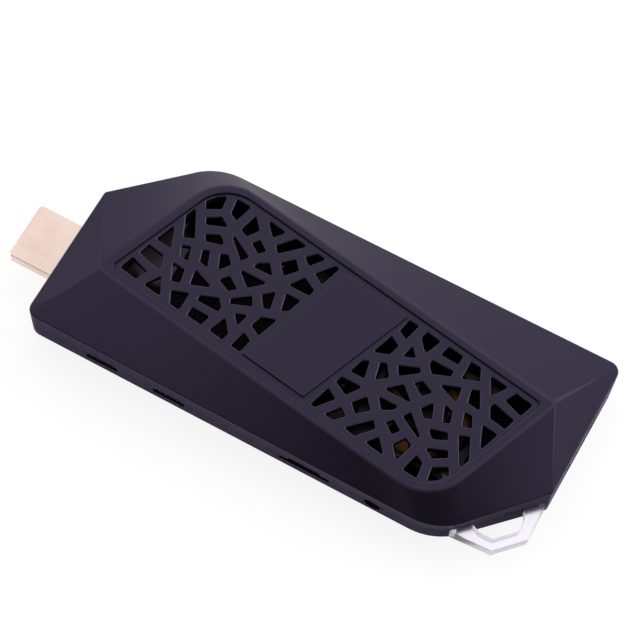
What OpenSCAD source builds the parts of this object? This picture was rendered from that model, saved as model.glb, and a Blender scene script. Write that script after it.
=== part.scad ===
// Stick computer that plugs straight into a display's video socket.
// Millimetres. The middle of the case's underside is the origin, +X points to the
// tail end with the full-size USB socket, the video plug points to -X, +Z is up.
// Seen from above, the case looks the same after half a turn about Z.

/* [Case] */
// Length of the case without the plug
body_l = 117.2; // [115:0.2:122]
// Width of the case
body_w = 53; // [52:0.5:57]
// Height of the rim round the vent panel
body_h = 13.2; // [13.2:0.1:14.4]
// Height of the side walls at the two ends
edge_z = 10.7; // [10.5:0.1:11.4]
// Height of the side walls where a cut corner meets a long side
low_z = 8.6; // [8.4:0.1:9.6]
// Cut corner, measured along the case
cut_l = 17.7; // [17:0.1:18.6]
// Cut corner, measured across the case
cut_w = 19.2; // [18.4:0.1:20]
// Rounding where a cut corner meets a long side
cut_r = 14; // [9:0.5:15]
// Rounding where a cut corner meets an end
blunt_r = 1.2; // [0.8:0.1:1.8]
// Rounding of the two square corners
corner_r = 2.5; // [1.5:0.1:4]
// Wall thickness
wall = 1.5; // [1.3:0.1:1.6]
// Thickness of the floor
floor_t = 1.4; // [1.2:0.1:1.4]
// Thickness of the roof under the rim
roof_t = 2.4; // [2.1:0.1:2.5]
// Lean of the long side walls between floor and top edge
side_draft = 1; // [0.6:0.1:1.2]
// Lean of the end walls between floor and top edge
end_draft = 0.2; // [0:0.1:0.4]
// Bevel round the underside
base_cut = 0.6; // [0.3:0.1:0.9]
// Height of the parting line between the two shells
part_z = 4.7; // [4.5:0.1:4.9]
// Height of the lip that centres the shells on each other
lip_h = 0.7; // [0.5:0.1:0.9]
// Thickness of that lip
lip_t = 0.7; // [0.6:0.1:0.8]
// Clearance between plastic pieces that drop into each other
fit_gap = 0.12; // [0.08:0.01:0.16]

/* [Vent panel] */
// How much shorter than the case the panel's long edges are
panel_short = 32.4; // [31.4:0.1:33.6]
// Length of the panel's short edge
panel_w = 32.3; // [31.6:0.1:33]
// Angle of the long edges to the case
panel_tilt = -8.5; // [-9:0.1:-8]
// Angle of the short edges to the case
panel_rake = 69.3; // [68.5:0.1:70]
// Rounding of the panel's two blunt corners
panel_r = 9; // [7:0.5:10]
// Rounding of the panel's two pointed corners
tip_r = 1; // [0.6:0.1:1.4]
// Thickness of the panel
panel_t = 1.4; // [1.2:0.1:1.4]
// Depth of the panel's face below the rim
panel_drop = 0.4; // [0.3:0.1:0.5]
// Width of the flat rim round the panel
rim_w = 1.9; // [1.6:0.1:2.2]
// Width of the gap round the panel
panel_gap = 0.2; // [0.15:0.05:0.25]
// Width of the ledge that carries the panel
ledge_w = 0.6; // [0.4:0.1:0.7]
// Rounding of the corners of the vent holes
hole_r = 0.3; // [0.2:0.05:0.35]

/* [Badge plate] */
// Width of the plate along the panel
badge_w = 16.4; // [15.8:0.1:16.6]
// Length of the plate across the panel
badge_l = 29.8; // [29.4:0.1:30]
// Thickness of the plate
badge_t = 1.05; // [0.8:0.05:1.1]
// Height of the plate's face above the grilles
badge_rise = 0.35; // [0.2:0.05:0.4]
// Width of the groove on each side of the plate
badge_groove = 0.1; // [0.05:0.05:0.2]
// Width of the gap at each end of the plate
badge_gap = 0.1; // [0.05:0.05:0.2]

/* [Lanyard loop] */
// Thickness of the clear loop
loop_t = 2.8; // [2.4:0.1:2.8]
// Height of its underside
loop_z = 3.4; // [3.4:0.1:3.6]
// Shift of the loop along the cut corner, toward the tail
loop_shift = 1.4; // [1.2:0.1:1.5]
// Half width of the loop at the case
loop_base = 10.9; // [10.4:0.1:11]
// Half width of its outer end
loop_end = 4.1; // [3.6:0.1:4.4]
// Reach from the cut corner
loop_reach = 6.7; // [6.2:0.1:7]
// Half width of the opening at the case
eye_base = 5.8; // [5.5:0.1:5.9]
// Half width of the opening halfway out
eye_mid = 5; // [4.7:0.1:5.2]
// Half width of the opening's outer end
eye_end = 2.9; // [2.6:0.1:3.1]
// Reach of the opening
eye_reach = 4.3; // [4:0.1:4.4]
// Half width of the loop's feet inside the case
foot_out = 9.4; // [9.1:0.1:9.5]
// Depth of the feet behind the wall's outer face
foot_in = 5.6; // [5.5:0.1:5.8]
// Depth of the posts that hold the feet
post_in = 3.8; // [3.8:0.1:3.9]
// Diameter of the two posts that hold the feet
post_d = 2.2; // [1.8:0.1:2.2]

/* [Board] */
// Thickness of the board
board_t = 1; // [0.8:0.1:1]
// Height of the board above the floor
board_lift = 0.8; // [0.8:0.1:1]
// Gap between the board's edge and the walls
board_gap = 0.6; // [0.4:0.1:0.8]

/* [Screws] */
// Shank diameter of the case screws
screw_d = 2; // [1.6:0.1:2.2]
// Head diameter of the case screws
head_d = 3.6; // [3.2:0.1:3.8]
// Head height of the case screws
head_h = 0.9; // [0.7:0.1:1]
// Depth of the screw heads below the underside
head_sink = 0.2; // [0.1:0.1:0.3]
// Shank length of the case screws
screw_l = 6; // [5:0.5:6.5]
// Diameter of the bosses the screws bite into
boss_d = 4.6; // [4.2:0.1:4.8]
// Distance of the square-corner screws from the end walls
corner_screw_x = 6.6; // [6.2:0.1:7]
// Distance of the square-corner screws from the long sides
corner_screw_y = 6.5; // [6.2:0.1:6.8]
// Distance of the cut-corner screws from the end walls
cut_screw_x = 20.6; // [20.4:0.1:21]
// Distance of the cut-corner screws from the long sides
cut_screw_y = 5; // [4.8:0.1:5.2]

/* [Video plug] */
// Length of plug outside the case
plug_out = 11.2; // [10.8:0.1:12]
// Length of plug inside the case
plug_in = 12.4; // [11:0.1:13]
// Width of the plug's shell
plug_w = 13.9; // [13.8:0.05:13.95]
// Height of the plug's shell
plug_h = 4.45; // [4.4:0.05:4.5]
// Width of the cut on each lower corner of the shell
plug_cut_w = 1.8; // [1.5:0.1:2]
// Height of the cut on each lower corner of the shell
plug_cut_h = 1.7; // [1.4:0.1:2]
// Sheet thickness of the shell
plug_skin = 0.35; // [0.3:0.05:0.4]
// Distance of the plug and of the tail socket from the case's middle line
plug_y = 8; // [7.8:0.1:8.2]
// Width of the slot in the plug's insulator
plug_slot_w = 11.2; // [11:0.1:11.4]
// Height of that slot
plug_slot_h = 1.9; // [1.7:0.1:2]
// Depth of that slot
plug_slot_depth = 9.5; // [9:0.1:10]
// Distance of the insulator behind the shell's mouth
plug_recess = 0.6; // [0.4:0.1:0.8]
// Spacing of the contacts in one row
pin_pitch = 1; // [0.95:0.05:1]
// Width of a contact
pin_w = 0.4; // [0.3:0.05:0.5]
// Thickness of a contact
pin_t = 0.2; // [0.15:0.05:0.25]
// Contacts in the upper row, with one fewer below
pin_count = 10; // [10]

/* [Tail socket] */
// Outer width of the USB socket's shell
usb_w = 13.1; // [12.9:0.1:13.2]
// Outer height of the shell
usb_h = 5.7; // [5.5:0.1:5.7]
// Depth of the socket
usb_depth = 12.4; // [12.3:0.1:13]
// Sheet thickness of the shell
usb_skin = 0.3; // [0.25:0.05:0.35]
// Distance of the mouth behind the end wall's face
usb_recess = 0.3; // [0.2:0.1:0.5]
// Width of the tongue
tongue_w = 11.1; // [10.8:0.1:11.3]
// Thickness of the tongue
tongue_t = 1.8; // [1.6:0.1:1.9]
// Length of the tongue
tongue_l = 8.8; // [8.4:0.1:9]
// Thickness of the block at the back of the socket
tongue_base = 3; // [2.5:0.1:3.5]
// Gap above the tongue
tongue_gap = 0.6; // [0.5:0.1:0.8]
// Spacing of the four contacts
usb_pitch = 2.2; // [2:0.1:2.4]
// Width of a USB contact
usb_pin_w = 1; // [0.8:0.1:1.2]
// Thickness of a USB contact
usb_pin_t = 0.15; // [0.1:0.05:0.2]

/* [Side ports] */
// Width of a micro-USB shell
port_w = 7.4; // [7.2:0.1:7.5]
// Height of a micro-USB shell
port_h = 2.5; // [2.4:0.1:2.6]
// Cut on the two upper corners of the shell
port_cut = 0.8; // [0.6:0.1:1]
// Depth of a micro-USB shell
port_depth = 5.6; // [5:0.1:6]
// Sheet thickness of the small shells
port_skin = 0.25; // [0.2:0.05:0.3]
// Distance of the shells' mouths behind the wall's face
port_recess = 0.5; // [0.4:0.1:0.8]
// Thickness of the moulding at the back of a small port
port_base_t = 1.4; // [1:0.1:1.6]
// Length of a small port's tongue in front of that moulding
port_tongue_l = 3.4; // [3:0.1:3.6]
// Width of a small port's tongue
port_tongue_w = 3.7; // [3.4:0.1:4]
// Thickness of a small port's tongue
port_tongue_t = 0.5; // [0.4:0.1:0.6]
// Distance of the power port from the plug end
power_port_in = 18.5; // [18.2:0.1:18.8]
// Distance of the data port from the plug end
data_port_in = 35; // [34.6:0.1:35.4]
// Distance of the memory card slot from the tail end
card_in = 49.2; // [49:0.1:49.4]
// Width of the card slot
card_w = 12.1; // [12:0.1:12.4]
// Height of the card slot
card_h = 1.5; // [1.4:0.1:1.6]
// Width of the finger notch over the slot
notch_w = 7.7; // [7.2:0.1:8.2]
// Height of the finger notch above the slot
notch_h = 1.3; // [1:0.1:1.4]
// Outer width of the card socket
socket_w = 13; // [12.8:0.1:13.2]
// Depth of the card socket
socket_depth = 14; // [13:0.5:14.5]
// Height of the card socket
socket_h = 1.5; // [1.4:0.1:1.5]
// Thickness of the socket's base plate
socket_base_t = 0.4; // [0.3:0.1:0.5]
// Width of the small slot in the cut corner beside the loop
latch_w = 2.2; // [1.8:0.1:2.6]
// Height of that slot
latch_h = 0.5; // [0.4:0.1:0.6]
// Distance of that slot from the loop's middle
latch_at = 2.5; // [2.2:0.1:2.8]

/* [Power button] */
// Distance of the button from the tail end
button_in = 32.7; // [32.4:0.1:33]
// Height of the button's axis
button_z = 4; // [4:0.1:4.1]
// Diameter of the button
button_d = 3.8; // [3.6:0.1:3.9]
// Diameter of the flange that keeps it in
flange_d = 4.9; // [4.7:0.1:5]
// Thickness of the flange
flange_t = 0.7; // [0.5:0.1:0.8]
// Distance of the button's face behind the wall's face
button_recess = 0.8; // [0.6:0.1:1]
// Travel of the button
button_travel = 0.35; // [0.25:0.05:0.4]
// Distance from the wall's face to the switch
switch_in = 6.2; // [6.1:0.1:6.3]
// Width of the switch
switch_w = 6; // [5.6:0.1:6]
// Depth of the switch
switch_l = 3; // [2.8:0.1:3]
// Height of the switch
switch_h = 2.8; // [2.6:0.1:3]
// Diameter of the switch's plunger
plunger_d = 2; // [1.6:0.1:2.1]
// Length of plunger outside the switch at rest
plunger_out = 1; // [0.8:0.1:1.2]
// Length of plunger inside the switch at rest
plunger_in = 1.2; // [1:0.1:1.4]

/* [Fan] */
// Distance of the fan's axis from the tail end
fan_in = 32.1; // [31.8:0.1:32.4]
// Gap between the copper spreader and the button's switch
cooling_gap = 0.5; // [0.3:0.1:0.7]
// Share of the height between copper and vent panel that the fan takes
fan_share = 0.57; // [0.54:0.01:0.58]
// Share of that height that the fan's legs take
leg_share = 0.2; // [0.18:0.01:0.2]
// Side of the fan's square frame
fan_size = 25; // [24.6:0.1:25]
// Bore of the frame
fan_bore = 23.4; // [22.8:0.1:23.4]
// Diameter of the legs
fan_leg_d = 3; // [2.8:0.1:3.2]
// Distance of the legs from the fan's axis, along each side
fan_leg_at = 10.8; // [10.7:0.1:10.9]
// Thickness of the motor plate, with slightly thinner spokes
spoke_t = 0.7; // [0.6:0.1:0.8]
// Width of the spokes
spoke_w = 1.4; // [1.2:0.1:1.8]
// Diameter of the hub
hub_d = 9.6; // [9.2:0.1:9.8]
// Thickness of the hub's top
hub_top = 0.6; // [0.5:0.1:0.7]
// Distance of the hub's top below the frame's top
hub_drop = 0.2; // [0.1:0.05:0.3]
// Thickness of the hub's wall
hub_skin = 0.5; // [0.4:0.05:0.5]
// Gap between turning and fixed pieces of the fan
run_gap = 0.3; // [0.25:0.05:0.35]
// Number of blades
blade_count = 9; // [7:1:11]
// Distance of the blades' edges inside the ends of the hub
blade_drop = 0.05; // [0.05:0.05:0.2]
// Thickness of a blade
blade_t = 0.6; // [0.5:0.1:0.7]
// Lean of the blades from upright
blade_lean = 48; // [44:1:52]
// Diameter of the shaft
shaft_d = 1.5; // [1.2:0.1:1.6]
// Radial running clearance of the shaft
shaft_gap = 0.02; // [0.015:0.005:0.03]
// Outer diameter of the bearing sleeve
bearing_d = 3; // [2.8:0.1:3.2]
// Thickness of the magnet ring
magnet_t = 0.6; // [0.5:0.1:0.7]
// Shank diameter of the fan screws
fan_screw_d = 1.6; // [1.4:0.1:1.6]
// Head diameter of the fan screws
fan_head_d = 2.8; // [2.6:0.1:3]
// Head height of the fan screws
fan_head_h = 0.4; // [0.3:0.1:0.5]
// Diameter of the standoffs under the copper
standoff_d = 3.4; // [3.2:0.1:3.6]

/* [Chips] */
// Side of the processor
cpu_w = 17; // [15:0.5:18]
// Height of the processor's carrier
cpu_base_t = 0.6; // [0.5:0.1:0.7]
// Side of the processor's die
die_w = 10; // [8:0.5:11]
// Height of the die on its carrier
die_t = 0.5; // [0.4:0.1:0.6]
// Thickness of the thermal pad
pad_t = 0.5; // [0.5:0.1:0.6]
// Thickness of the copper spreader
copper_t = 0.8; // [0.7:0.1:0.9]
// Length of the copper spreader
copper_l = 25; // [25:0.1:26]
// Width of the copper spreader
copper_w = 25.4; // [25:0.1:25.4]
// Length of the shield can
shield_l = 26; // [25:0.5:26.5]
// Width of the shield can
shield_w = 20; // [19:0.5:20.5]
// Height of the shield can
shield_h = 2; // [1.9:0.1:2.2]
// Sheet thickness of the shield can
shield_t = 0.25; // [0.2:0.05:0.3]
// Distance of the shield can's middle from the plug end
shield_in = 34.6; // [34.2:0.1:35]
// Place of the shield can and the flash chip across the case
chip_row_y = -3; // [-3.4:0.1:-2.6]
// Gap between neighbouring chips on the board
chip_gap = 2.25; // [1.5:0.05:2.5]
// Gap round the memory chips under the can
memory_gap = 1; // [0.8:0.1:1.2]
// Height of the memory and flash chips
chip_t = 1; // [0.8:0.1:1.1]
// Side of the flash chip
flash_w = 11.5; // [10:0.5:11.5]
// Side of the radio module
radio_w = 12; // [11:0.5:12]
// Height of the radio module
radio_t = 1.6; // [1.2:0.1:1.8]
// Distance of the radio module's middle from the plug end
radio_in = 32.6; // [32:0.1:33.2]
// Distance of the radio module's middle from the back
radio_back = 10.5; // [10.2:0.1:10.6]
// Length of the antenna
antenna_l = 7; // [6:0.5:8]
// Width of the antenna
antenna_w = 2.3; // [2:0.1:2.6]
// Distance of the antenna's middle from the plug end
antenna_in = 14.6; // [14.2:0.1:15]
// Distance of the antenna's middle from the back
antenna_back = 15; // [14.6:0.1:15.4]
// Side of a power coil
coil_w = 5; // [4.5:0.1:5.2]
// Height of a power coil
coil_t = 2.4; // [2:0.1:2.6]
// Gap between the coils
coil_gap = 2; // [1.5:0.1:2.2]
// Distance of the coils' middles from the back
coil_back = 12.5; // [12.3:0.1:12.8]
// Length of a capacitor
cap_l = 3.5; // [3:0.1:3.6]
// Width of a capacitor
cap_w = 2.8; // [2.4:0.1:3]
// Height of a capacitor
cap_t = 1.9; // [1.6:0.1:2]
// Gap between the capacitors
cap_gap = 2.4; // [2:0.1:2.6]
// Distance of the capacitors' middles from the back
cap_back = 6.5; // [6.3:0.1:6.8]
// Length of the clock crystal
crystal_l = 3.2; // [2.5:0.1:3.4]
// Width of the clock crystal
crystal_w = 2.5; // [2:0.1:2.8]
// Height of the clock crystal
crystal_t = 0.8; // [0.6:0.1:0.9]
// Length of the status light
led_l = 1.6; // [1.2:0.1:1.8]
// Width of the status light
led_w = 0.8; // [0.6:0.1:1]
// Height of the status light
led_t = 0.6; // [0.4:0.1:0.8]
// Distance of the status light from the plug end
led_in = 47.6; // [47.2:0.1:48]
// Distance of the status light from the front
led_front = 5.5; // [5:0.1:6]

/* [Hidden] */

$fn = 64;

case_colour = [0.20, 0.18, 0.24];
plastic_black = [0.07, 0.07, 0.08];
steel = [0.75, 0.76, 0.78];
gold = [0.86, 0.77, 0.58];
copper = [0.72, 0.43, 0.24];
board_black = [0.06, 0.07, 0.09];

// Reach of a cutting shape past the face it cuts
over = 1;
// Steps of the arcs that round an outline
tight_steps = 3;
hole_steps = 2;
wide_steps = 10;
// Points between the arcs, so that the twisted faces stay smooth
side_steps = 9;
cut_steps = 3;
// Smallest rounding of an inner outline
least_r = 0.3;
// Drop of the inside of the wall's top edge below the outside
edge_drop = 1;
// Set-in of the inside of the rim
rim_in = 1.2;
// Share of a sheet's thickness by which a corner cut is smaller on its inside
cut_share = 0.4;

half_l = body_l / 2;
half_w = body_w / 2;
panel_l = body_l - panel_short;
board_z = floor_t + board_lift;
board_top = board_z + board_t;
panel_z = body_h - panel_drop - panel_t;
badge_z = panel_z + panel_t + badge_rise - badge_t;
cut_side = norm([cut_l, cut_w]);
// Direction along the cut corner beside the loop
cut_along = [cut_l, cut_w] / cut_side;
loop_mid = [half_l - cut_l / 2, cut_w / 2 - half_w] + cut_along * loop_shift;
loop_angle = atan2(cut_along[1], cut_along[0]);
along = [cos(panel_tilt), sin(panel_tilt)];
across = [cos(panel_rake), sin(panel_rake)];
skew = sin(panel_rake - panel_tilt);

power_port_x = power_port_in - half_l;
data_port_x = data_port_in - half_l;
card_x = half_l - card_in;
button_x = half_l - button_in;
switch_z = board_top + switch_h / 2;
switch_y = front_y(button_z) + switch_in;

shield_at = [shield_in - half_l, chip_row_y];
flash_at = shield_at + [shield_l / 2 + chip_gap + flash_w / 2, 0];
crystal_at = flash_at + [0, flash_w / 2 + chip_gap + crystal_w / 2];
radio_at = [radio_in - half_l, half_w - radio_back];
antenna_at = [antenna_in - half_l, half_w - antenna_back];
led_at = [led_in - half_l, led_front - half_w];

copper_z = board_top + cpu_base_t + die_t + pad_t;
fan_room = panel_z - copper_z - copper_t;
fan_leg_h = leg_share * fan_room;
fan_h = fan_share * fan_room;
fan_at = [half_l - fan_in, switch_y + switch_l + cooling_gap + copper_w / 2];
fan_z = copper_z + copper_t + fan_leg_h;
hub_z = fan_z + spoke_t + run_gap;
fan_top = fan_z + fan_h;
hub_rise = fan_top - hub_drop - hub_z;
blade_chord = (hub_rise - 2 * blade_drop - blade_t * sin(blade_lean)) / cos(blade_lean);
magnet_d = hub_d - 2 * hub_skin;
stator_d = magnet_d - 2 * magnet_t - 2 * run_gap;
fan_corners = [[1, -1], [-1, 1]];

loop_posts = [-1, 1] * (eye_base + foot_out) / 2;
corner_screw = [half_l - corner_screw_x, half_w - corner_screw_y];
cut_screw = [half_l - cut_screw_x, cut_screw_y - half_w];
screw_tip = head_sink + head_h + screw_l;
screws = [corner_screw, -corner_screw, cut_screw, -cut_screw];

// Corner points of the vent holes in the tail grille, in millimetres from the panel's middle,
// for a panel with edges of hole_l and hole_w. The plug-side grille is the same, half a turn round.
hole_l = 85.86;
hole_w = 32.49;
vent_holes = [
    [[14.1, 12.5], [13.4, 9.1], [15.6, 8], [16.6, 12.2]],
    [[18.8, 11.9], [18.3, 10], [20.8, 6.9], [22.4, 11.3]],
    [[24.5, 11.1], [23.8, 8.5], [28.2, 8.3], [28.3, 10.6]],
    [[30.3, 10.3], [30.3, 5.7], [34.2, 7.1], [32.8, 10.1]],
    [[35.5, 9.5], [37.7, 5.1], [40.1, 8.9]],
    [[42.2, 8.5], [40.8, 5.8], [45.4, 4.2], [46.6, 7.8]],
    [[12.5, 7.2], [10.7, 1.8], [14.2, 3], [15, 5.8]],
    [[17.6, 7.4], [16.8, 4], [19.6, 5.1]],
    [[22.8, 6.5], [22.7, 5.3], [24.2, 3.5], [28.1, 5], [28.2, 6.4]],
    [[21.6, 3.6], [16.9, 1.7], [18.3, -0.5], [22, 2.4]],
    [[31.4, 3.9], [26.8, 2.1], [32.1, 0]],
    [[33.4, 4.5], [34.1, 1.3], [37.3, 0.9], [35.2, 5.2]],
    [[39.3, 4.1], [38.7, 3], [39.9, 0.5], [43.9, -0.2], [44.7, 2.6]],
    [[13.3, 0.4], [14.3, -3.9], [16.7, -1.8], [14.8, 0.9]],
    [[9.7, -1.2], [8.6, -4.7], [12.2, -4.7], [11.2, -0.4]],
    [[23.4, 1.1], [21.9, -0.3], [24.8, -2.3], [26.5, -0.3]],
    [[20.2, -1.6], [16.8, -4.8], [23.8, -4.8]],
    [[27.8, -2.2], [25.9, -4.8], [27.6, -6.6], [29.3, -5.9]],
    [[30, -1.4], [31.6, -5.5], [33.1, -4.8], [32.3, -2.1]],
    [[34.5, -0.8], [35.6, -4.3], [37.7, -3.6], [36.5, -1]],
    [[39.2, -1.6], [41.5, -7.2], [43.2, -2.1]],
    [[7.6, -6.7], [7.2, -8.4], [10.5, -10.1], [12.8, -6.7]],
    [[16.7, -6.8], [18.8, -9.4], [21.1, -8], [21.6, -6.8]],
    [[24.6, -6.6], [23.4, -8.4], [28.5, -11.2], [29, -10.8]],
    [[29.7, -8.1], [30.5, -9.3], [31.6, -9.9], [34.6, -8.5], [33.6, -7]],
    [[35.9, -6.4], [39.5, -13.1], [40.5, -10.4], [38.3, -5.4]],
    [[14.7, -8.1], [12.4, -11], [14.3, -13], [16.9, -10.6]],
    [[22.2, -10], [20.9, -11.5], [23.4, -13.3], [24.6, -11.6]],
    [[6.5, -10.4], [4.9, -15.8], [6.1, -15.9], [9.1, -12]],
    [[11.1, -13], [8.6, -16.3], [10.9, -16.6], [12.9, -14.5]],
    [[18.5, -12.2], [13.7, -17], [16.7, -17.5], [19.8, -13.8]],
    [[21.3, -15.1], [19.3, -17.7], [24.3, -18.5]],
    [[26.4, -12.5], [24.6, -15.2], [27.1, -18.1], [28.3, -13.4]],
    [[31, -12.5], [33.4, -14], [36.4, -12.1], [35.6, -10.6]],
    [[30.2, -14.8], [29.1, -19.3], [32.7, -19.6], [32.2, -15.8]],
    [[37.5, -13.9], [34.4, -15.7], [34.9, -19.1], [36.9, -17.7], [38.4, -15.6]]];

// Outlines

function unit(v) = v / norm(v);

function last(list) = list[len(list) - 1];

function at(points, z) = [for (p = points) [p[0], p[1], z]];

function turned(points) = [for (p = points) [-p[0], -p[1], p[2]]];

function between(p, q, count) = [for (i = [1:count]) p + (q - p) * i / (count + 1)];

// Arc of radius r that rounds the corner b of the path a, b, c
function corner_arc(a, b, c, r, steps) =
    let (u = unit(a - b), v = unit(c - b))
    let (half = acos(u * v) / 2, middle = b + unit(u + v) * r / sin(half))
    let (first = b + u * r / tan(half) - middle, start = atan2(first[1], first[0]))
    let (turn = (180 - 2 * half) * sign(cross(b - a, c - b)))
    [for (i = [0:steps]) middle + r * [cos(start + turn * i / steps), sin(start + turn * i / steps)]];

function rounded(points, r, steps) =
    let (n = len(points))
    [for (i = [0:n - 1])
        each corner_arc(points[(i + n - 1) % n], points[i], points[(i + 1) % n], r, steps)];

// Half of the case's outline set in by t: from the blunt corner at the plug end, round the
// square corner and the long side to the cut corner beside the loop
function half_ring(t, z_end, z_low) =
    let (l = half_l - t, w = half_w - t)
    let (cl = cut_l - t * (1 - (cut_side - cut_l) / cut_w))
    let (cw = cut_w - t * (1 - (cut_side - cut_w) / cut_l))
    let (blunt = [-l, w - cw], square = [-l, -w], low = [l - cl, -w])
    let (a = at(corner_arc(-low, blunt, square, max(blunt_r - t, least_r), tight_steps), z_end))
    let (b = at(corner_arc(blunt, square, low, max(corner_r - t, least_r), tight_steps), z_end))
    let (c = at(corner_arc(square, low, -blunt, cut_r - t, wide_steps), z_low))
    concat(a, b, between(last(b), c[0], side_steps), c, between(last(c), turned(a)[0], cut_steps));

// The same run of points on the panel's outline grown by g: one pointed end, a long edge,
// a blunt corner and a short edge
function half_skew(g, z) =
    let (l = panel_l / 2 + g / skew, w = panel_w / 2 + g / skew)
    let (point = -along * l - across * w, blunt = along * l - across * w)
    let (a = at(corner_arc(-blunt, point, blunt, max(tip_r + g, least_r), 2 * tight_steps + 1), z))
    let (b = at(corner_arc(point, blunt, -point, panel_r + g, wide_steps), z))
    concat(a, between(last(a), b[0], side_steps), b, between(last(b), turned(a)[0], cut_steps));

function whole(half) = concat(half, turned(half));

function drafted(points, z) =
    let (k = 1 - z / edge_z)
    [for (p = points) [p[0] * (1 - end_draft * k / half_l), p[1] * (1 - side_draft * k / half_w), p[2]]];

function flat(points) = [for (p = points) [p[0], p[1]]];

function plan(t, z) = flat(drafted(whole(half_ring(t, z, z)), z));

function front_y(z) = -half_w + side_draft * (1 - z / edge_z);

// Skin over a stack of rings that have the same number of points
module loft(rings) {
    n = len(rings[0]);
    top = (len(rings) - 1) * n;
    polyhedron(
        points = [for (ring = rings) each ring],
        faces = concat(
            [[for (i = [0:n - 1]) i], [for (i = [n - 1:-1:0]) top + i]],
            [for (j = [0:n:top - n], i = [0:n - 1]) [j + i, j + n + i, j + n + (i + 1) % n]],
            [for (j = [0:n:top - n], i = [0:n - 1]) [j + i, j + n + (i + 1) % n, j + (i + 1) % n]]));
}

module block(size, low) {
    translate([low[0], low[1], low[2]])
        cube(size);
}

// Block centred on a place on the board
module chip(size, place) {
    translate([place[0] - size[0] / 2, place[1] - size[1] / 2, board_top])
        cube(size);
}

module slab(points, z, h) {
    translate([0, 0, z])
        linear_extrude(h)
            polygon(points);
}

module pillar(place, z, h, d) {
    translate([place[0], place[1], z])
        cylinder(h = h, d = d);
}

// Profile in Y and Z, run along X from x0 to x1
module run_x(points, x0, x1) {
    translate([x0, 0, 0])
        rotate([90, 0, 90])
            linear_extrude(x1 - x0)
                polygon(points);
}

// Profile in X and Z, run along Y from y0 to y1
module run_y(points, y0, y1) {
    translate([0, y1, 0])
        rotate([90, 0, 0])
            linear_extrude(y1 - y0)
                polygon(points);
}

module rod_y(x, z, y0, y1, d) {
    translate([x, y0, z])
        rotate([-90, 0, 0])
            cylinder(h = y1 - y0, d = d);
}

// Case

module case_blank() {
    loft([
        drafted(whole(half_ring(base_cut, 0, 0)), 0),
        drafted(whole(half_ring(0, base_cut, base_cut)), base_cut),
        whole(half_ring(0, edge_z, low_z)),
        whole(half_skew(rim_w, body_h))]);
}

module case_cavity() {
    loft([
        drafted(whole(half_ring(wall, floor_t, floor_t)), floor_t),
        whole(half_ring(wall, edge_z - edge_drop, low_z - edge_drop)),
        whole(half_skew(rim_w - rim_in, body_h - roof_t))]);
}

module slice(z0, z1) {
    block([body_l + 2 * over, body_w + 2 * over, z1 - z0], [-half_l - over, -half_w - over, z0]);
}

// Everything that opens the walls of both shells
module wall_openings() {
    y0 = -half_w - over;
    y1 = -half_w + side_draft + wall + over;
    run_x(plug_profile(-fit_gap), -half_l - over, -half_l + wall + over);
    run_x(socket_profile(-fit_gap), half_l - wall - over, half_l + over);
    for (x = [power_port_x, data_port_x])
        run_y(port_profile(x, -fit_gap), y0, y1);
    block([card_w, y1 - y0, card_h + fit_gap], [card_x - card_w / 2, y0, board_top]);
    block([notch_w, y1 - y0, card_h + notch_h], [card_x - notch_w / 2, y0, board_top]);
    rod_y(button_x, button_z, y0, y1, button_d + 2 * fit_gap);
    on_cut_corner()
        for (s = [-1, 1])
            loop_foot_slot(s);
}

// X along the cut corner toward the tail, Y out of it
module on_cut_corner() {
    translate([loop_mid[0], loop_mid[1], 0])
        rotate([0, 0, loop_angle])
            mirror([0, 1, 0])
                children();
}

module loop_foot_slot(s) {
    width = foot_out - eye_base + 2 * fit_gap;
    depth = wall + side_draft;
    low = s > 0 ? eye_base - fit_gap : -foot_out - fit_gap;
    block([width, depth + over, loop_t + 2 * fit_gap], [low, -depth, loop_z - fit_gap]);
}

module bottom_shell() {
    color(case_colour)
        difference() {
            union() {
                difference() {
                    intersection() {
                        case_blank();
                        slice(-over, part_z);
                    }
                    case_cavity();
                }
                difference() {
                    slab(plan(wall - lip_t, part_z), part_z - lip_h, 2 * lip_h);
                    slab(plan(wall, part_z), part_z - lip_h - over, 2 * lip_h + 2 * over);
                }
                for (p = screws)
                    pillar(p, base_cut, board_z - base_cut, head_d + 2 * lip_t);
                on_cut_corner()
                    for (s = loop_posts)
                        pillar([s, -post_in], base_cut, loop_z + loop_t - base_cut - fit_gap, post_d);
            }
            wall_openings();
            for (p = screws) {
                pillar(p, -over, over + head_sink + head_h, head_d + 2 * fit_gap);
                pillar(p, 0, board_z + over, screw_d + 2 * fit_gap);
            }
        }
}

module top_shell() {
    color(case_colour)
        difference() {
            union() {
                difference() {
                    intersection() {
                        case_blank();
                        slice(part_z, body_h + over);
                    }
                    case_cavity();
                    slab(plan(wall - lip_t - fit_gap, part_z), part_z - over, over + lip_h + fit_gap);
                }
                intersection() {
                    case_blank();
                    for (p = screws)
                        pillar(p, board_top, edge_z - board_top, boss_d);
                }
            }
            slab(flat(whole(half_skew(panel_gap, 0))), panel_z, body_h);
            slab(flat(whole(half_skew(-ledge_w, 0))), body_h - roof_t - over, body_h);
            wall_openings();
            on_cut_corner()
                block([latch_w, 2 * (wall + over), latch_h],
                    [latch_at - latch_w / 2, -wall - 2 * over, loop_z + loop_t - latch_h]);
            for (p = screws)
                pillar(p, board_top - over, screw_tip - board_top + 2 * over, screw_d + 2 * shaft_gap);
        }
}

module case_screws() {
    color(steel)
        for (p = screws) {
            pillar(p, head_sink, head_h, head_d);
            pillar(p, head_sink + head_h, screw_l, screw_d);
        }
}

// Vent panel and badge

function placed_hole(points) =
    [for (p = points)
        (along * cross(p, across) * panel_l / hole_l + across * cross(along, p) * panel_w / hole_w) / skew];

function badge_outline(w, l) =
    [for (s = [[-1, -1], [1, -1], [1, 1], [-1, 1]]) along * s[0] * w / 2 + across * s[1] * l / 2];

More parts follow.
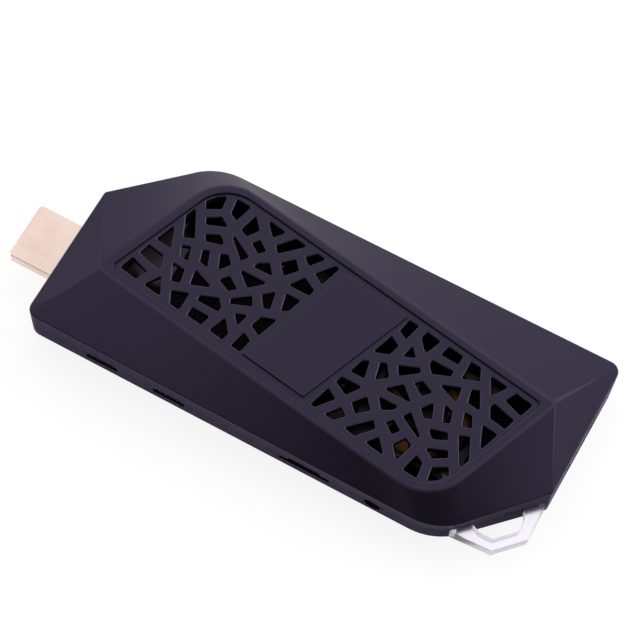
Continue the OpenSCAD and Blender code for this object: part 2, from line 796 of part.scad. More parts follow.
module vent_panel() {
    color(case_colour)
        difference() {
            slab(flat(whole(half_skew(0, 0))), panel_z, panel_t);
            for (points = vent_holes, s = [0, 180])
                rotate([0, 0, s])
                    slab(rounded(placed_hole(points), hole_r, hole_steps),
                        panel_z - over, panel_t + 2 * over);
            slab(badge_outline(badge_w + 2 * badge_groove, badge_l + 2 * badge_gap), badge_z, panel_t);
        }
}

module badge_plate() {
    color(case_colour)
        slab(rounded(badge_outline(badge_w, badge_l), hole_r, tight_steps), badge_z, badge_t);
}

// Lanyard loop

module lanyard_loop() {
    lean = (loop_base - loop_end) / loop_reach;
    color([0.92, 0.92, 0.96, 0.5])
        difference() {
            union() {
                difference() {
                    on_cut_corner()
                        slab([[-loop_base - lean * wall, -wall], [loop_base, -wall], [loop_base, 0],
                            [loop_end, loop_reach], [-loop_end, loop_reach]], loop_z, loop_t);
                    slab(plan(-fit_gap, loop_z + loop_t), loop_z - over, loop_t + 2 * over);
                }
                on_cut_corner()
                    block([2 * foot_out, foot_in + over, loop_t], [-foot_out, -foot_in, loop_z]);
            }
            on_cut_corner() {
                slab([[-eye_base, -wall - side_draft], [eye_base, -wall - side_draft], [eye_base, 0],
                    [eye_mid, eye_reach / 2], [eye_end, eye_reach], [-eye_end, eye_reach],
                    [-eye_mid, eye_reach / 2], [-eye_base, 0]], loop_z - over, loop_t + 2 * over);
                for (s = loop_posts)
                    pillar([s, -post_in], loop_z - over, loop_t + 2 * over, post_d + 2 * fit_gap);
            }
        }
}

// Board and chips

module main_board() {
    color(board_black)
        difference() {
            slab(plan(wall + board_gap, 0), board_z, board_t);
            for (p = screws)
                pillar(p, board_z - over, board_t + 2 * over, screw_d + 4 * fit_gap);
            block([switch_w + 2 * board_gap, switch_in, board_t + 2 * over],
                [button_x - switch_w / 2 - board_gap, switch_y - switch_in - board_gap, board_z - over]);
            on_cut_corner()
                block([2 * foot_out + 3 * over, 2 * foot_in, board_t + 2 * over],
                    [-foot_out - over, -foot_in - board_gap, board_z - over]);
        }
}

module processor() {
    color([0.10, 0.30, 0.18])
        chip([cpu_w, cpu_w, cpu_base_t], fan_at);
    color([0.35, 0.36, 0.40])
        translate([0, 0, cpu_base_t])
            chip([die_w, die_w, die_t], fan_at);
}

module thermal_pad() {
    color([0.62, 0.66, 0.72])
        translate([0, 0, cpu_base_t + die_t])
            chip([die_w, die_w, pad_t], fan_at);
}

module memory_chips() {
    l = (shield_l - 4 * shield_t - 3 * memory_gap) / 2;
    w = (shield_w - 4 * shield_t - 3 * memory_gap) / 2;
    color(plastic_black)
        for (x = [-1, 1], y = [-1, 1])
            chip([l, w, chip_t], shield_at + [x * (l + memory_gap), y * (w + memory_gap)] / 2);
}

module shield_frame() {
    color(steel)
        difference() {
            chip([shield_l - 2 * shield_t, shield_w - 2 * shield_t, shield_h - shield_t], shield_at);
            translate([0, 0, -over])
                chip([shield_l - 4 * shield_t, shield_w - 4 * shield_t, shield_h + 2 * over], shield_at);
        }
}

module shield_lid() {
    color(steel)
        difference() {
            chip([shield_l, shield_w, shield_h], shield_at);
            translate([0, 0, -shield_t])
                chip([shield_l - 2 * shield_t, shield_w - 2 * shield_t, shield_h], shield_at);
        }
}

module flash_chip() {
    color(plastic_black)
        chip([flash_w, flash_w, chip_t], flash_at);
}

module wifi_module() {
    color(steel)
        chip([radio_w, radio_w, radio_t], radio_at);
}

module chip_antenna() {
    color([0.90, 0.90, 0.86])
        chip([antenna_l, antenna_w, chip_t], antenna_at);
}

module power_coils() {
    color([0.25, 0.25, 0.27])
        for (i = [-1:1])
            chip([coil_w, coil_w, coil_t], [i * (coil_w + coil_gap), half_w - coil_back]);
}

module capacitors() {
    color([0.78, 0.55, 0.20])
        for (i = [-1.5:1.5])
            chip([cap_l, cap_w, cap_t], [i * (cap_l + cap_gap), half_w - cap_back]);
}

module clock_crystal() {
    color(steel)
        chip([crystal_l, crystal_w, crystal_t], crystal_at);
}

module status_led() {
    color([0.85, 0.90, 1.0])
        chip([led_l, led_w, led_t], led_at);
}

// Video plug

function plug_profile(t) =
    let (w = plug_w / 2 - t, z0 = board_top + t, z1 = board_top + plug_h - t, c = plug_cut_w - cut_share * t)
    [[-w - plug_y, z1], [-w - plug_y, z0 + plug_cut_h], [c - w - plug_y, z0],
        [w - c - plug_y, z0], [w - plug_y, z0 + plug_cut_h], [w - plug_y, z1]];

plug_end = -half_l - plug_out;
plug_back = -half_l + plug_in;
slot_z = board_top + plug_h / 2 + plug_skin;

module hdmi_shell() {
    color(gold)
        difference() {
            run_x(plug_profile(0), plug_end, plug_back);
            run_x(plug_profile(plug_skin), plug_end - over, plug_back - plug_skin);
        }
}

module hdmi_insulator() {
    color(plastic_black)
        difference() {
            run_x(plug_profile(plug_skin), plug_end + plug_recess, plug_back - plug_skin);
            block([plug_slot_depth + over, plug_slot_w, plug_slot_h],
                [plug_end + plug_recess - over, -plug_y - plug_slot_w / 2, slot_z - plug_slot_h / 2]);
        }
}

module hdmi_contacts() {
    x0 = plug_end + 2 * plug_recess;
    length = plug_slot_depth - plug_recess;
    color(gold)
        for (row = [0, 1], i = [0:pin_count - 1 - row])
            block([length, pin_w, pin_t],
                [x0, -plug_y - pin_w / 2 + (i - (pin_count - 1 - row) / 2) * pin_pitch,
                    slot_z + (row == 0 ? plug_slot_h / 2 - pin_t : -plug_slot_h / 2)]);
}

// Tail socket

function socket_profile(t) =
    let (w = usb_w / 2 - t)
    [[plug_y - w, board_top + t], [plug_y + w, board_top + t],
        [plug_y + w, board_top + usb_h - t], [plug_y - w, board_top + usb_h - t]];

usb_mouth = half_l - usb_recess;
usb_back = usb_mouth - usb_depth;
tongue_z = board_top + usb_h - usb_skin - tongue_gap - tongue_t;

module usb_shell() {
    color(steel)
        difference() {
            run_x(socket_profile(0), usb_back, usb_mouth);
            run_x(socket_profile(usb_skin), usb_back + usb_skin, usb_mouth + over);
        }
}

module usb_tongue() {
    color([0.88, 0.88, 0.88])
        union() {
            run_x(socket_profile(usb_skin), usb_back + usb_skin, usb_back + usb_skin + tongue_base);
            block([tongue_l + usb_skin, tongue_w, tongue_t],
                [usb_back + tongue_base, plug_y - tongue_w / 2, tongue_z]);
        }
}

module usb_contacts() {
    color(gold)
        for (i = [-1.5:1.5])
            block([tongue_l - 2 * usb_skin, usb_pin_w, usb_pin_t],
                [usb_back + usb_skin + tongue_base, plug_y + i * usb_pitch - usb_pin_w / 2,
                    tongue_z - usb_pin_t]);
}

// Side ports

function port_profile(x, t) =
    let (w = port_w / 2 - t, z0 = board_top + t, z1 = board_top + port_h - t, c = port_cut - cut_share * t)
    [[x - w, z0], [x + w, z0], [x + w, z1 - c], [x + w - c, z1], [x + c - w, z1], [x - w, z1 - c]];

port_mouth = front_y(board_top) + port_recess;
port_back = port_mouth + port_depth;

module port_shell(x) {
    color(steel)
        difference() {
            run_y(port_profile(x, 0), port_mouth, port_back);
            run_y(port_profile(x, port_skin), port_mouth - over, port_back - port_skin);
        }
}

module port_tongue(x) {
    z = board_top + port_h / 2;
    back = port_back - port_skin;
    color(plastic_black)
        union() {
            run_y(port_profile(x, port_skin), back - port_base_t, back);
            block([port_tongue_w, port_tongue_l + port_skin, port_tongue_t],
                [x - port_tongue_w / 2, back - port_base_t - port_tongue_l, z - port_tongue_t / 2]);
        }
}

module power_port_shell() {
    port_shell(power_port_x);
}

module power_port_tongue() {
    port_tongue(power_port_x);
}

module data_port_shell() {
    port_shell(data_port_x);
}

module data_port_tongue() {
    port_tongue(data_port_x);
}

socket_y = front_y(board_top) + wall + board_gap;

module card_socket_base() {
    rail = (socket_w - card_w) / 2 + port_skin;
    color(plastic_black)
        difference() {
            block([socket_w, socket_depth, socket_h - port_skin],
                [card_x - socket_w / 2, socket_y, board_top]);
            block([socket_w - 2 * rail, socket_depth - rail + over, socket_h],
                [card_x - socket_w / 2 + rail, socket_y - over, board_top + socket_base_t]);
        }
}

module card_socket_cover() {
    color(steel)
        block([socket_w, socket_depth, port_skin],
            [card_x - socket_w / 2, socket_y, board_top + socket_h - port_skin]);
}

// Power button

button_face = front_y(button_z) + button_recess;
button_tail = switch_y - plunger_out;
flange_y = front_y(button_z - flange_d / 2) + wall + fit_gap;

module power_button() {
    color(plastic_black)
        union() {
            rod_y(button_x, button_z, button_face, button_tail, button_d);
            rod_y(button_x, button_z, flange_y, flange_y + flange_t, flange_d);
        }
}

module button_switch() {
    color(plastic_black)
        difference() {
            block([switch_w, switch_l, switch_h], [button_x - switch_w / 2, switch_y, board_top]);
            rod_y(button_x, switch_z, switch_y - over, switch_y + plunger_in + 2 * button_travel,
                plunger_d + 4 * shaft_gap);
        }
}

module switch_plunger() {
    color([0.85, 0.85, 0.82])
        rod_y(button_x, switch_z, button_tail, switch_y + plunger_in, plunger_d);
}

// Cooling

module at_fan() {
    translate([fan_at[0], fan_at[1], 0])
        children();
}

module heat_spreader() {
    color(copper)
        at_fan()
            difference() {
                block([copper_l, copper_w, copper_t], [-copper_l / 2, -copper_w / 2, copper_z]);
                for (s = fan_corners)
                    pillar(s * fan_leg_at, copper_z - over, copper_t + 2 * over, fan_screw_d + 2 * fit_gap);
            }
}

module fan_standoffs() {
    color(gold)
        at_fan()
            difference() {
                for (s = fan_corners)
                    pillar(s * fan_leg_at, board_top, copper_z - board_top, standoff_d);
                for (s = fan_corners)
                    pillar(s * fan_leg_at, board_top - over, copper_z - board_top + 2 * over,
                        fan_screw_d + 2 * shaft_gap);
            }
}

module fan_frame() {
    corner = fan_size / 2 - fan_leg_at;
    spoke_root = hub_d / 2 - spoke_w / 2;
    spoke_end = (fan_size + fan_bore) / 4;
    color(plastic_black)
        at_fan()
            difference() {
                union() {
                    difference() {
                        slab(rounded([[-1, -1] * fan_size / 2, [1, -1] * fan_size / 2, [1, 1] * fan_size / 2,
                            [-1, 1] * fan_size / 2], corner, tight_steps), fan_z, fan_h);
                        pillar([0, 0], fan_z - over, fan_h + 2 * over, fan_bore);
                    }
                    pillar([0, 0], fan_z, spoke_t, hub_d);
                    for (a = [90, 210, 330])
                        rotate([0, 0, a])
                            block([spoke_end - spoke_root, spoke_w, spoke_t - 2 * fit_gap],
                                [spoke_root, -spoke_w / 2, fan_z + fit_gap]);
                    for (x = [-1, 1], y = [-1, 1])
                        pillar([x, y] * fan_leg_at, copper_z + copper_t, fan_leg_h + spoke_t, fan_leg_d);
                }
                pillar([0, 0], fan_z - over, spoke_t + 2 * over, bearing_d + 2 * shaft_gap);
                for (s = fan_corners)
                    pillar(s * fan_leg_at, copper_z, fan_leg_h + fan_h + 2 * over,
                        fan_screw_d + 2 * fit_gap);
            }
}

module fan_bearing() {
    color(gold)
        at_fan()
            difference() {
                pillar([0, 0], fan_z, spoke_t + hub_rise - hub_top - run_gap, bearing_d);
                pillar([0, 0], fan_z - over, hub_rise + 2 * over, shaft_d + 2 * shaft_gap);
            }
}

module fan_stator() {
    color(copper)
        at_fan()
            difference() {
                pillar([0, 0], fan_z + spoke_t, hub_rise - hub_top - run_gap, stator_d);
                pillar([0, 0], fan_z, hub_rise + 2 * over, bearing_d + 2 * shaft_gap);
            }
}

module fan_shaft() {
    color(steel)
        at_fan()
            pillar([0, 0], fan_z + run_gap, hub_z + hub_rise - hub_top - fan_z - run_gap, shaft_d);
}

module fan_magnet() {
    color([0.20, 0.20, 0.21])
        at_fan()
            difference() {
                pillar([0, 0], hub_z, hub_rise - hub_top, magnet_d);
                pillar([0, 0], hub_z - over, hub_rise + over, magnet_d - 2 * magnet_t);
            }
}

module fan_rotor() {
    root = hub_d / 2 - hub_skin / 2;
    blade_l = fan_bore / 2 - 2 * run_gap - root;
    color(plastic_black)
        at_fan()
            union() {
                difference() {
                    pillar([0, 0], hub_z, hub_rise, hub_d);
                    pillar([0, 0], hub_z - over, hub_rise - hub_top + over, magnet_d);
                }
                for (i = [0:blade_count - 1])
                    rotate([0, 0, i * 360 / blade_count])
                        translate([root, 0, hub_z + hub_rise / 2])
                            rotate([blade_lean, 0, 0])
                                translate([0, -blade_t / 2, -blade_chord / 2])
                                    cube([blade_l, blade_t, blade_chord]);
            }
}

module fan_screws() {
    color(steel)
        at_fan()
            for (s = fan_corners) {
                pillar(s * fan_leg_at, fan_top, fan_head_h, fan_head_d);
                pillar(s * fan_leg_at, board_top + run_gap, fan_top - board_top - run_gap, fan_screw_d);
            }
}

bottom_shell();
main_board();
processor();
memory_chips();
flash_chip();
shield_frame();
shield_lid();
wifi_module();
chip_antenna();
power_coils();
capacitors();
clock_crystal();
status_led();
hdmi_shell();
hdmi_insulator();
hdmi_contacts();
usb_shell();
usb_tongue();
usb_contacts();
power_port_shell();
power_port_tongue();
data_port_shell();
data_port_tongue();
card_socket_base();
card_socket_cover();
button_switch();
switch_plunger();
power_button();
thermal_pad();
fan_standoffs();
heat_spreader();
fan_frame();
fan_bearing();
fan_stator();
fan_shaft();
fan_magnet();
fan_rotor();
fan_screws();
lanyard_loop();
top_shell();
vent_panel();
badge_plate();
case_screws();
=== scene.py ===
import math

import bmesh
import bpy
from mathutils import Matrix, Vector


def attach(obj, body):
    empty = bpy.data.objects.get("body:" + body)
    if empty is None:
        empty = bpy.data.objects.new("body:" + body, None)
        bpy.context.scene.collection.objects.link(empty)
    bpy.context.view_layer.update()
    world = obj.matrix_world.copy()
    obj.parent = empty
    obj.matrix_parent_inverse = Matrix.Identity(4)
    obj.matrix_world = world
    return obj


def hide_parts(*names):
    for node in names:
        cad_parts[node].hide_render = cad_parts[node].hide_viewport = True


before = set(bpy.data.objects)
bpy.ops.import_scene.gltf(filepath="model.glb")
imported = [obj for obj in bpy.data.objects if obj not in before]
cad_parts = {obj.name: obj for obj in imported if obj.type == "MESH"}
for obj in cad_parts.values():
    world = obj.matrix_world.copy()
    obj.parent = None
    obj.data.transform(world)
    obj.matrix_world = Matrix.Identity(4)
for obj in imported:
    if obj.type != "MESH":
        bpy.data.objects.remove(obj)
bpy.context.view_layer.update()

# Lower shell. Injection-moulded dark violet-grey plastic with a fine spark-eroded texture.
# A shallow tray with leaning sides, two cut corners and a bevel round the underside.
# Four screws from below pull it against the upper shell.

MM = 0.001
HALF_LENGTH = 58.6
HALF_WIDTH = 26.5
CUT_ALONG = 17.7
CUT_ACROSS = 19.2
CUT_ROUND = 14
BLUNT_ROUND = 1.2
SQUARE_ROUND = 2.5
END_EDGE = 10.7
LOW_EDGE = 8.6
SIDE_LEAN = 1
END_LEAN = 0.2
WALL = 1.5
FLOOR = 1.4
BASE_BEVEL = 0.6
PARTING = 4.7
PARTING_GAP = 0.03
LEAST_ROUND = 0.3
BASE_SOFT = 0.25
SEAM_SOFT = 0.06
CORNER_FACING = 0.985
TIGHT_STEPS = 6
WIDE_STEPS = 24
LONG_STEPS = 24
SHORT_STEPS = 6


def corner_arc(before, corner, after, radius, steps, grow=0):
    """Round corner of an outline; grow moves its points out from the arc's centre."""
    u = (before - corner).normalized()
    v = (after - corner).normalized()
    half = u.angle(v) / 2
    middle = corner + (u + v).normalized() * radius / math.sin(half)
    first = (corner + u * radius / math.tan(half) - middle) * (radius + grow) / radius
    turn = math.copysign(math.pi - 2 * half, (corner - before).cross(after - corner))
    return [middle + Matrix.Rotation(turn * i / steps, 2) @ first for i in range(steps + 1)]


def lifted(points, height):
    return [Vector((p.x, p.y, height)) for p in points]


def between(start, end, count):
    return [start.lerp(end, i / (count + 1)) for i in range(1, count + 1)]


def half_turn(points):
    return points + [Vector((-p.x, -p.y, p.z)) for p in points]


def case_outline(inset, end_height, low_height):
    """Outline of the case set in by a wall: it starts at the blunt corner beside the plug."""
    side = math.hypot(CUT_ALONG, CUT_ACROSS)
    length, width = HALF_LENGTH - inset, HALF_WIDTH - inset
    cut_x = CUT_ALONG - inset * (1 - (side - CUT_ALONG) / CUT_ACROSS)
    cut_y = CUT_ACROSS - inset * (1 - (side - CUT_ACROSS) / CUT_ALONG)
    blunt = Vector((-length, width - cut_y))
    square = Vector((-length, -width))
    low = Vector((length - cut_x, -width))
    blunt_round = max(BLUNT_ROUND - inset, LEAST_ROUND)
    square_round = max(SQUARE_ROUND - inset, LEAST_ROUND)
    a = lifted(corner_arc(-low, blunt, square, blunt_round, TIGHT_STEPS), end_height)
    b = lifted(corner_arc(blunt, square, low, square_round, TIGHT_STEPS), end_height)
    c = lifted(corner_arc(square, low, -blunt, CUT_ROUND - inset, WIDE_STEPS), low_height)
    start = Vector((-a[0].x, -a[0].y, a[0].z))
    return half_turn(a + b + between(b[-1], c[0], LONG_STEPS) + c + between(c[-1], start, SHORT_STEPS))


def wall_ring(inset, height):
    """Level ring of a leaning wall: the case is widest at the shoulder."""
    below = 1 - height / END_EDGE
    along = 1 - END_LEAN * below / HALF_LENGTH
    across = 1 - SIDE_LEAN * below / HALF_WIDTH
    return [Vector((p.x * along, p.y * across, p.z)) for p in case_outline(inset, height, height)]


def loop_edges(mesh, verts):
    return [mesh.edges.get((verts[i - 1], verts[i])) for i in range(len(verts))]


def start_loop(mesh, points):
    verts = [mesh.verts.new(p * MM) for p in points]
    for i in range(len(verts)):
        mesh.edges.new((verts[i - 1], verts[i]))
    return verts


def grow_loop(mesh, verts, points, finish=0):
    """Extrudes a closed run of edges and puts the new run on the given points."""
    grown = bmesh.ops.extrude_edge_only(mesh, edges=loop_edges(mesh, verts))["geom"]
    for face in (g for g in grown if isinstance(g, bmesh.types.BMFace)):
        face.material_index = finish
    fresh = {g for g in grown if isinstance(g, bmesh.types.BMVert)}
    moved = []
    for vert, point in zip(verts, points):
        partner = next(e.other_vert(vert) for e in vert.link_edges if e.other_vert(vert) in fresh)
        partner.co = point * MM
        moved.append(partner)
    return moved


def skin(rings):
    """Skin over a stack of rings; returns the mesh and the vertices of each ring."""
    mesh = bmesh.new()
    stack = [start_loop(mesh, rings[0])]
    for ring in rings[1:]:
        stack.append(grow_loop(mesh, stack[-1], ring))
    return mesh, stack


def cap(mesh, verts):
    bmesh.ops.contextual_create(mesh, geom=loop_edges(mesh, verts))


def join_ends(mesh, stack):
    bmesh.ops.weld_verts(mesh, targetmap=dict(zip(stack[-1], stack[0])))


def face_out(mesh):
    bmesh.ops.recalc_face_normals(mesh, faces=mesh.faces)


def soften(mesh, verts, width, segments):
    """Rounds off a run of edges in the piece's first finish; returns the new faces."""
    made = bmesh.ops.bevel(mesh, geom=loop_edges(mesh, verts), offset=width * MM, offset_type="OFFSET",
                           segments=segments, profile=0.5, affect="EDGES", material=-1, clamp_overlap=True)
    for face in made["faces"]:
        face.normal_update()
        face.material_index = 0
    return made["faces"]


def new_object(name, mesh):
    data = bpy.data.meshes.new(name)
    mesh.to_mesh(data)
    mesh.free()
    made = bpy.data.objects.new(name, data)
    bpy.context.scene.collection.objects.link(made)
    return made


def shaded(made, angle=32):
    """Smooth shading with sharp creases, and flat faces that stay flat beside soft edges."""
    made.data.shade_smooth()
    made.data.set_sharp_from_angle(angle=math.radians(angle))
    weighted = made.modifiers.new("weighted", "WEIGHTED_NORMAL")
    weighted.keep_sharp = True
    return made


def carve(made, tool):
    """Takes the tool's shape out of a piece and drops the tool."""
    cut = made.modifiers.new("cut", "BOOLEAN")
    cut.operation = "DIFFERENCE"
    cut.solver = "EXACT"
    cut.object = tool
    whole = made.evaluated_get(bpy.context.evaluated_depsgraph_get())
    carved = bpy.data.meshes.new_from_object(whole)
    made.modifiers.clear()
    made.data = carved
    bpy.data.objects.remove(tool)


def prism(mesh, points, path):
    """Solid with a flat outline of 3-D points, drawn out along a path."""
    verts = [mesh.verts.new(Vector(p) * MM) for p in points]
    face = mesh.faces.new(verts)
    grown = bmesh.ops.extrude_face_region(mesh, geom=[face])["geom"]
    far = [g for g in grown if isinstance(g, bmesh.types.BMVert)]
    bmesh.ops.translate(mesh, vec=Vector(path) * MM, verts=far)


PLUG_Y = -8
PLUG_LOW = 3.2
PLUG_HIGH = 7.65
PLUG_HALF = 6.95
PLUG_CUT_ACROSS = 1.8
PLUG_CUT_UP = 1.7
SOCKET_Y = 8
SOCKET_HALF = 6.55
SOCKET_LOW = 3.2
SOCKET_HIGH = 8.9
PORT_PLACES = (-40.1, -23.6)
PORT_HALF = 3.7
PORT_LOW = 3.2
PORT_HIGH = 5.7
PORT_CORNER = 0.8
CARD_X = 9.4
CARD_HALF = 6.05
CARD_LOW = 3.2
CARD_HIGH = 4.8
NOTCH_HALF = 3.85
NOTCH_HIGH = 6
BUTTON_X = 25.9
BUTTON_Z = 4
BUTTON_ROUND = 1.9
LOOP_LOW = 3.4
LOOP_HIGH = 6.2
LOOP_FEET = (5.8, 9.4)
LOOP_SHIFT = 1.4
SLIT_AT = 2.5
SLIT_HALF = 1.1
SLIT_Z = (5.7, 6.2)
OPENING_GAP = 0.12
TOOL_OUT = 2
END_REACH = 3
SIDE_REACH = 4
BUTTON_STEPS = 48

cut_along = Vector((CUT_ALONG, CUT_ACROSS)).normalized()
cut_out = Vector((CUT_ACROSS, -CUT_ALONG)).normalized()
loop_middle = Vector((HALF_LENGTH - CUT_ALONG / 2, CUT_ACROSS / 2 - HALF_WIDTH)) + cut_along * LOOP_SHIFT


def on_cut_corner(s, n, z):
    """Point at s along the cut corner beside the loop and n out of it."""
    p = loop_middle + cut_along * s + cut_out * n
    return Vector((p.x, p.y, z))


def circle(x, y, radius, steps):
    around = [math.tau * i / steps for i in range(steps)]
    return [Vector((x + radius * math.cos(a), y + radius * math.sin(a))) for a in around]


def round_y(x, z, radius, y):
    return [Vector((p.x, y, p.y)) for p in circle(x, z, radius, BUTTON_STEPS)]


def corner_slot(mesh, low, high, bottom, top):
    """Slot through the cut corner, between two places along it and two heights."""
    sides = ((low, bottom), (high, bottom), (high, top), (low, top))
    outward = cut_out.to_3d() * (SIDE_REACH + TOOL_OUT)
    prism(mesh, [on_cut_corner(s, -SIDE_REACH, z) for s, z in sides], outward)


def wall_openings():
    """One tool for everything that opens the walls of both shells."""
    mesh = bmesh.new()
    g = OPENING_GAP
    through_end = (END_REACH + TOOL_OUT, 0, 0)
    through_front = (0, SIDE_REACH + TOOL_OUT, 0)
    y = -HALF_WIDTH - TOOL_OUT
    w = PLUG_HALF + g
    prism(mesh, [(-HALF_LENGTH - TOOL_OUT, PLUG_Y + a, b) for a, b in (
        (-w, PLUG_HIGH + g), (-w, PLUG_LOW + PLUG_CUT_UP), (PLUG_CUT_ACROSS - PLUG_HALF, PLUG_LOW - g),
        (PLUG_HALF - PLUG_CUT_ACROSS, PLUG_LOW - g), (w, PLUG_LOW + PLUG_CUT_UP), (w, PLUG_HIGH + g))],
        through_end)
    w = SOCKET_HALF + g
    prism(mesh, [(HALF_LENGTH - END_REACH, SOCKET_Y + a, b) for a, b in (
        (-w, SOCKET_LOW - g), (w, SOCKET_LOW - g), (w, SOCKET_HIGH + g), (-w, SOCKET_HIGH + g))], through_end)
    w = PORT_HALF + g
    shoulder = PORT_HIGH - PORT_CORNER
    for x in PORT_PLACES:
        prism(mesh, [(x + a, y, b) for a, b in (
            (-w, PORT_LOW - g), (w, PORT_LOW - g), (w, shoulder), (w - PORT_CORNER, PORT_HIGH + g),
            (PORT_CORNER - w, PORT_HIGH + g), (-w, shoulder))], through_front)
    prism(mesh, [(CARD_X + a, y, b) for a, b in (
        (-CARD_HALF, CARD_LOW), (CARD_HALF, CARD_LOW), (CARD_HALF, CARD_HIGH), (NOTCH_HALF, CARD_HIGH),
        (NOTCH_HALF, NOTCH_HIGH), (-NOTCH_HALF, NOTCH_HIGH), (-NOTCH_HALF, CARD_HIGH),
        (-CARD_HALF, CARD_HIGH))], through_front)
    prism(mesh, round_y(BUTTON_X, BUTTON_Z, BUTTON_ROUND + g, y), through_front)
    for low, high in (LOOP_FEET, (-LOOP_FEET[1], -LOOP_FEET[0])):
        corner_slot(mesh, low - g, high + g, LOOP_LOW - g, LOOP_HIGH + g)
    corner_slot(mesh, SLIT_AT - SLIT_HALF, SLIT_AT + SLIT_HALF, *SLIT_Z)
    face_out(mesh)
    return mesh


class Signal:
    """One output in a material's node tree. Arithmetic on it adds Math nodes."""

    def __init__(self, tree, socket=None):
        self.tree = tree
        self.socket = socket

    def node(self, kind, settings=None, inputs=None, output=0):
        made = self.tree.nodes.new(kind)
        for name, value in (settings or {}).items():
            setattr(made, name, value)
        for name, value in (inputs or {}).items():
            if isinstance(value, Signal):
                self.tree.links.new(value.socket, made.inputs[name])
            else:
                made.inputs[name].default_value = value
        return Signal(self.tree, made.outputs[output] if len(made.outputs) else None)

    def math(self, operation, first, second):
        return self.node("ShaderNodeMath", {"operation": operation}, {0: first, 1: second})

    def __add__(self, other):
        return self.math("ADD", self, other)

    def __radd__(self, other):
        return self.math("ADD", other, self)

    def __sub__(self, other):
        return self.math("SUBTRACT", self, other)

    def __rsub__(self, other):
        return self.math("SUBTRACT", other, self)

    def __mul__(self, other):
        return self.math("MULTIPLY", self, other)

    def __rmul__(self, other):
        return self.math("MULTIPLY", other, self)


def new_finish(name):
    made = bpy.data.materials.new(name)
    made.use_nodes = True
    made.node_tree.nodes.clear()
    return made, Signal(made.node_tree)


def tone(red, green, blue):
    return (red, green, blue, 1)


def grain(root, scale, detail=2, roughness=0.5, stretch=(1, 1, 1)):
    """Noise in the piece's own coordinates; scale is in features per metre."""
    place = root.node("ShaderNodeTexCoord", output=3)
    mapped = root.node("ShaderNodeMapping", {}, {"Vector": place, "Scale": stretch})
    return root.node("ShaderNodeTexNoise", {}, {"Vector": mapped, "Scale": scale, "Detail": detail,
                                                "Roughness": roughness})


def mixed(root, amount, dark, light):
    return root.node("ShaderNodeMix", {"data_type": "RGBA"}, {0: amount, 6: dark, 7: light}, output=2)


def bumped(root, height, strength, depth):
    return root.node("ShaderNodeBump", {}, {"Height": height, "Strength": strength, "Distance": depth * MM})


def surfaced(root, **sockets):
    """Principled surface on the material's output."""
    names = {name.replace("_", " "): value for name, value in sockets.items()}
    shell = root.node("ShaderNodeBsdfPrincipled", {}, names)
    root.node("ShaderNodeOutputMaterial", {}, {"Surface": shell})


def moulded(name, dark, light, rough, fine=7000, depth=0.012, level=0.5, sheen=(1, 1, 1, 1), velvet=0):
    """Moulded plastic: slow drifts of tone and gloss, and a fine eroded texture."""
    made, root = new_finish(name)
    drift = grain(root, 45, 3)
    speck = grain(root, fine, 2)
    surfaced(root,
             Base_Color=mixed(root, drift * 0.6 + speck * 0.4, dark, light),
             Roughness=rough + (drift - 0.5) * 0.12 + (speck - 0.5) * 0.1,
             Specular_IOR_Level=level,
             Specular_Tint=sheen,
             Sheen_Weight=velvet,
             Sheen_Tint=sheen,
             Normal=bumped(root, speck, 0.35, depth))
    return made


def side_finish(name, velvet):
    """The walls' rougher texture: a velvety sheen in place of gloss."""
    return moulded(name, tone(0.012, 0.0095, 0.017), tone(0.018, 0.0140, 0.025), 0.65, level=0.02,
                   sheen=tone(0.72, 0.55, 1.0), velvet=velvet)


# Faces of the cut corner, which take the copy of the wall finish with painted shade.
def faces_shaded_corner(face):
    return face.normal.to_2d().dot(cut_out) > CORNER_FACING


case_wall = side_finish("case_wall", 0.45)
# Painted shade: the cut corner's wall takes a copy of the wall finish with less sheen, so it renders darker.
shaded_corner_wall = side_finish("shaded_corner_wall", 0.18)
base_mesh, base_stack = skin([
    wall_ring(BASE_BEVEL, 0),
    wall_ring(0, BASE_BEVEL),
    wall_ring(0, PARTING - PARTING_GAP),
    wall_ring(WALL, PARTING - PARTING_GAP),
    wall_ring(WALL, FLOOR)])
cap(base_mesh, base_stack[0])
cap(base_mesh, base_stack[-1])
face_out(base_mesh)
soften(base_mesh, base_stack[1], BASE_SOFT, 2)
soften(base_mesh, base_stack[2], SEAM_SOFT, 1)
base_mesh.normal_update()
for face in base_mesh.faces:
    face.material_index = 1 if faces_shaded_corner(face) else 0
lower_shell = new_object("lower_shell", base_mesh)

SCREWS = ((52, 20), (-52, -20), (38, -21.5), (-38, 21.5))
HEAD_ROUND = 1.8
HEAD_DEPTH = 1.1
SCREW_STEPS = 40


def round_z(x, y, radius, z):
    return lifted(circle(x, y, radius, SCREW_STEPS), z)


openings = wall_openings()
for x, y in SCREWS:
    prism(openings, round_z(x, y, HEAD_ROUND + OPENING_GAP, -TOOL_OUT), (0, 0, TOOL_OUT + HEAD_DEPTH))
face_out(openings)
carve(lower_shell, new_object("lower_tool", openings))
for finish in (case_wall, shaded_corner_wall):
    lower_shell.data.materials.append(finish)
shaded(lower_shell)
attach(lower_shell, "case")
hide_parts("bottom_shell")

# Circuit board. Glass-fibre laminate under black solder mask, routed to the case's outline.
# It drops onto the four screw bosses and carries every connector. Near the plug it turns pale
# violet-grey in a round patch with a ragged edge.

PALE_PATCH_AT = Vector((-42.5, 3, 3.2))
PALE_PATCH_ROUND = 5.5
PALE_PATCH_END = 8.5
PALE_PATCH_RAGGED = 6
PAD_REACH = 0.16


def dress(finish, *nodes):
    """Gives CAD nodes that are already right in shape their finish."""
    for name in nodes:
        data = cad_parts[name].data
        data.materials.clear()
        data.materials.append(finish)


def apart(root, place, point):
    return root.node("ShaderNodeVectorMath", {"operation": "DISTANCE"}, {0: place, 1: point * MM}, output=1)


def faded(root, distance, none_at, full_at):
    """Soft mask from 0 at one distance to 1 at another."""
    return root.node("ShaderNodeMapRange", {"interpolation_type": "SMOOTHSTEP"}, {
        "Value": distance, "From Min": none_at * MM, "From Max": full_at * MM})


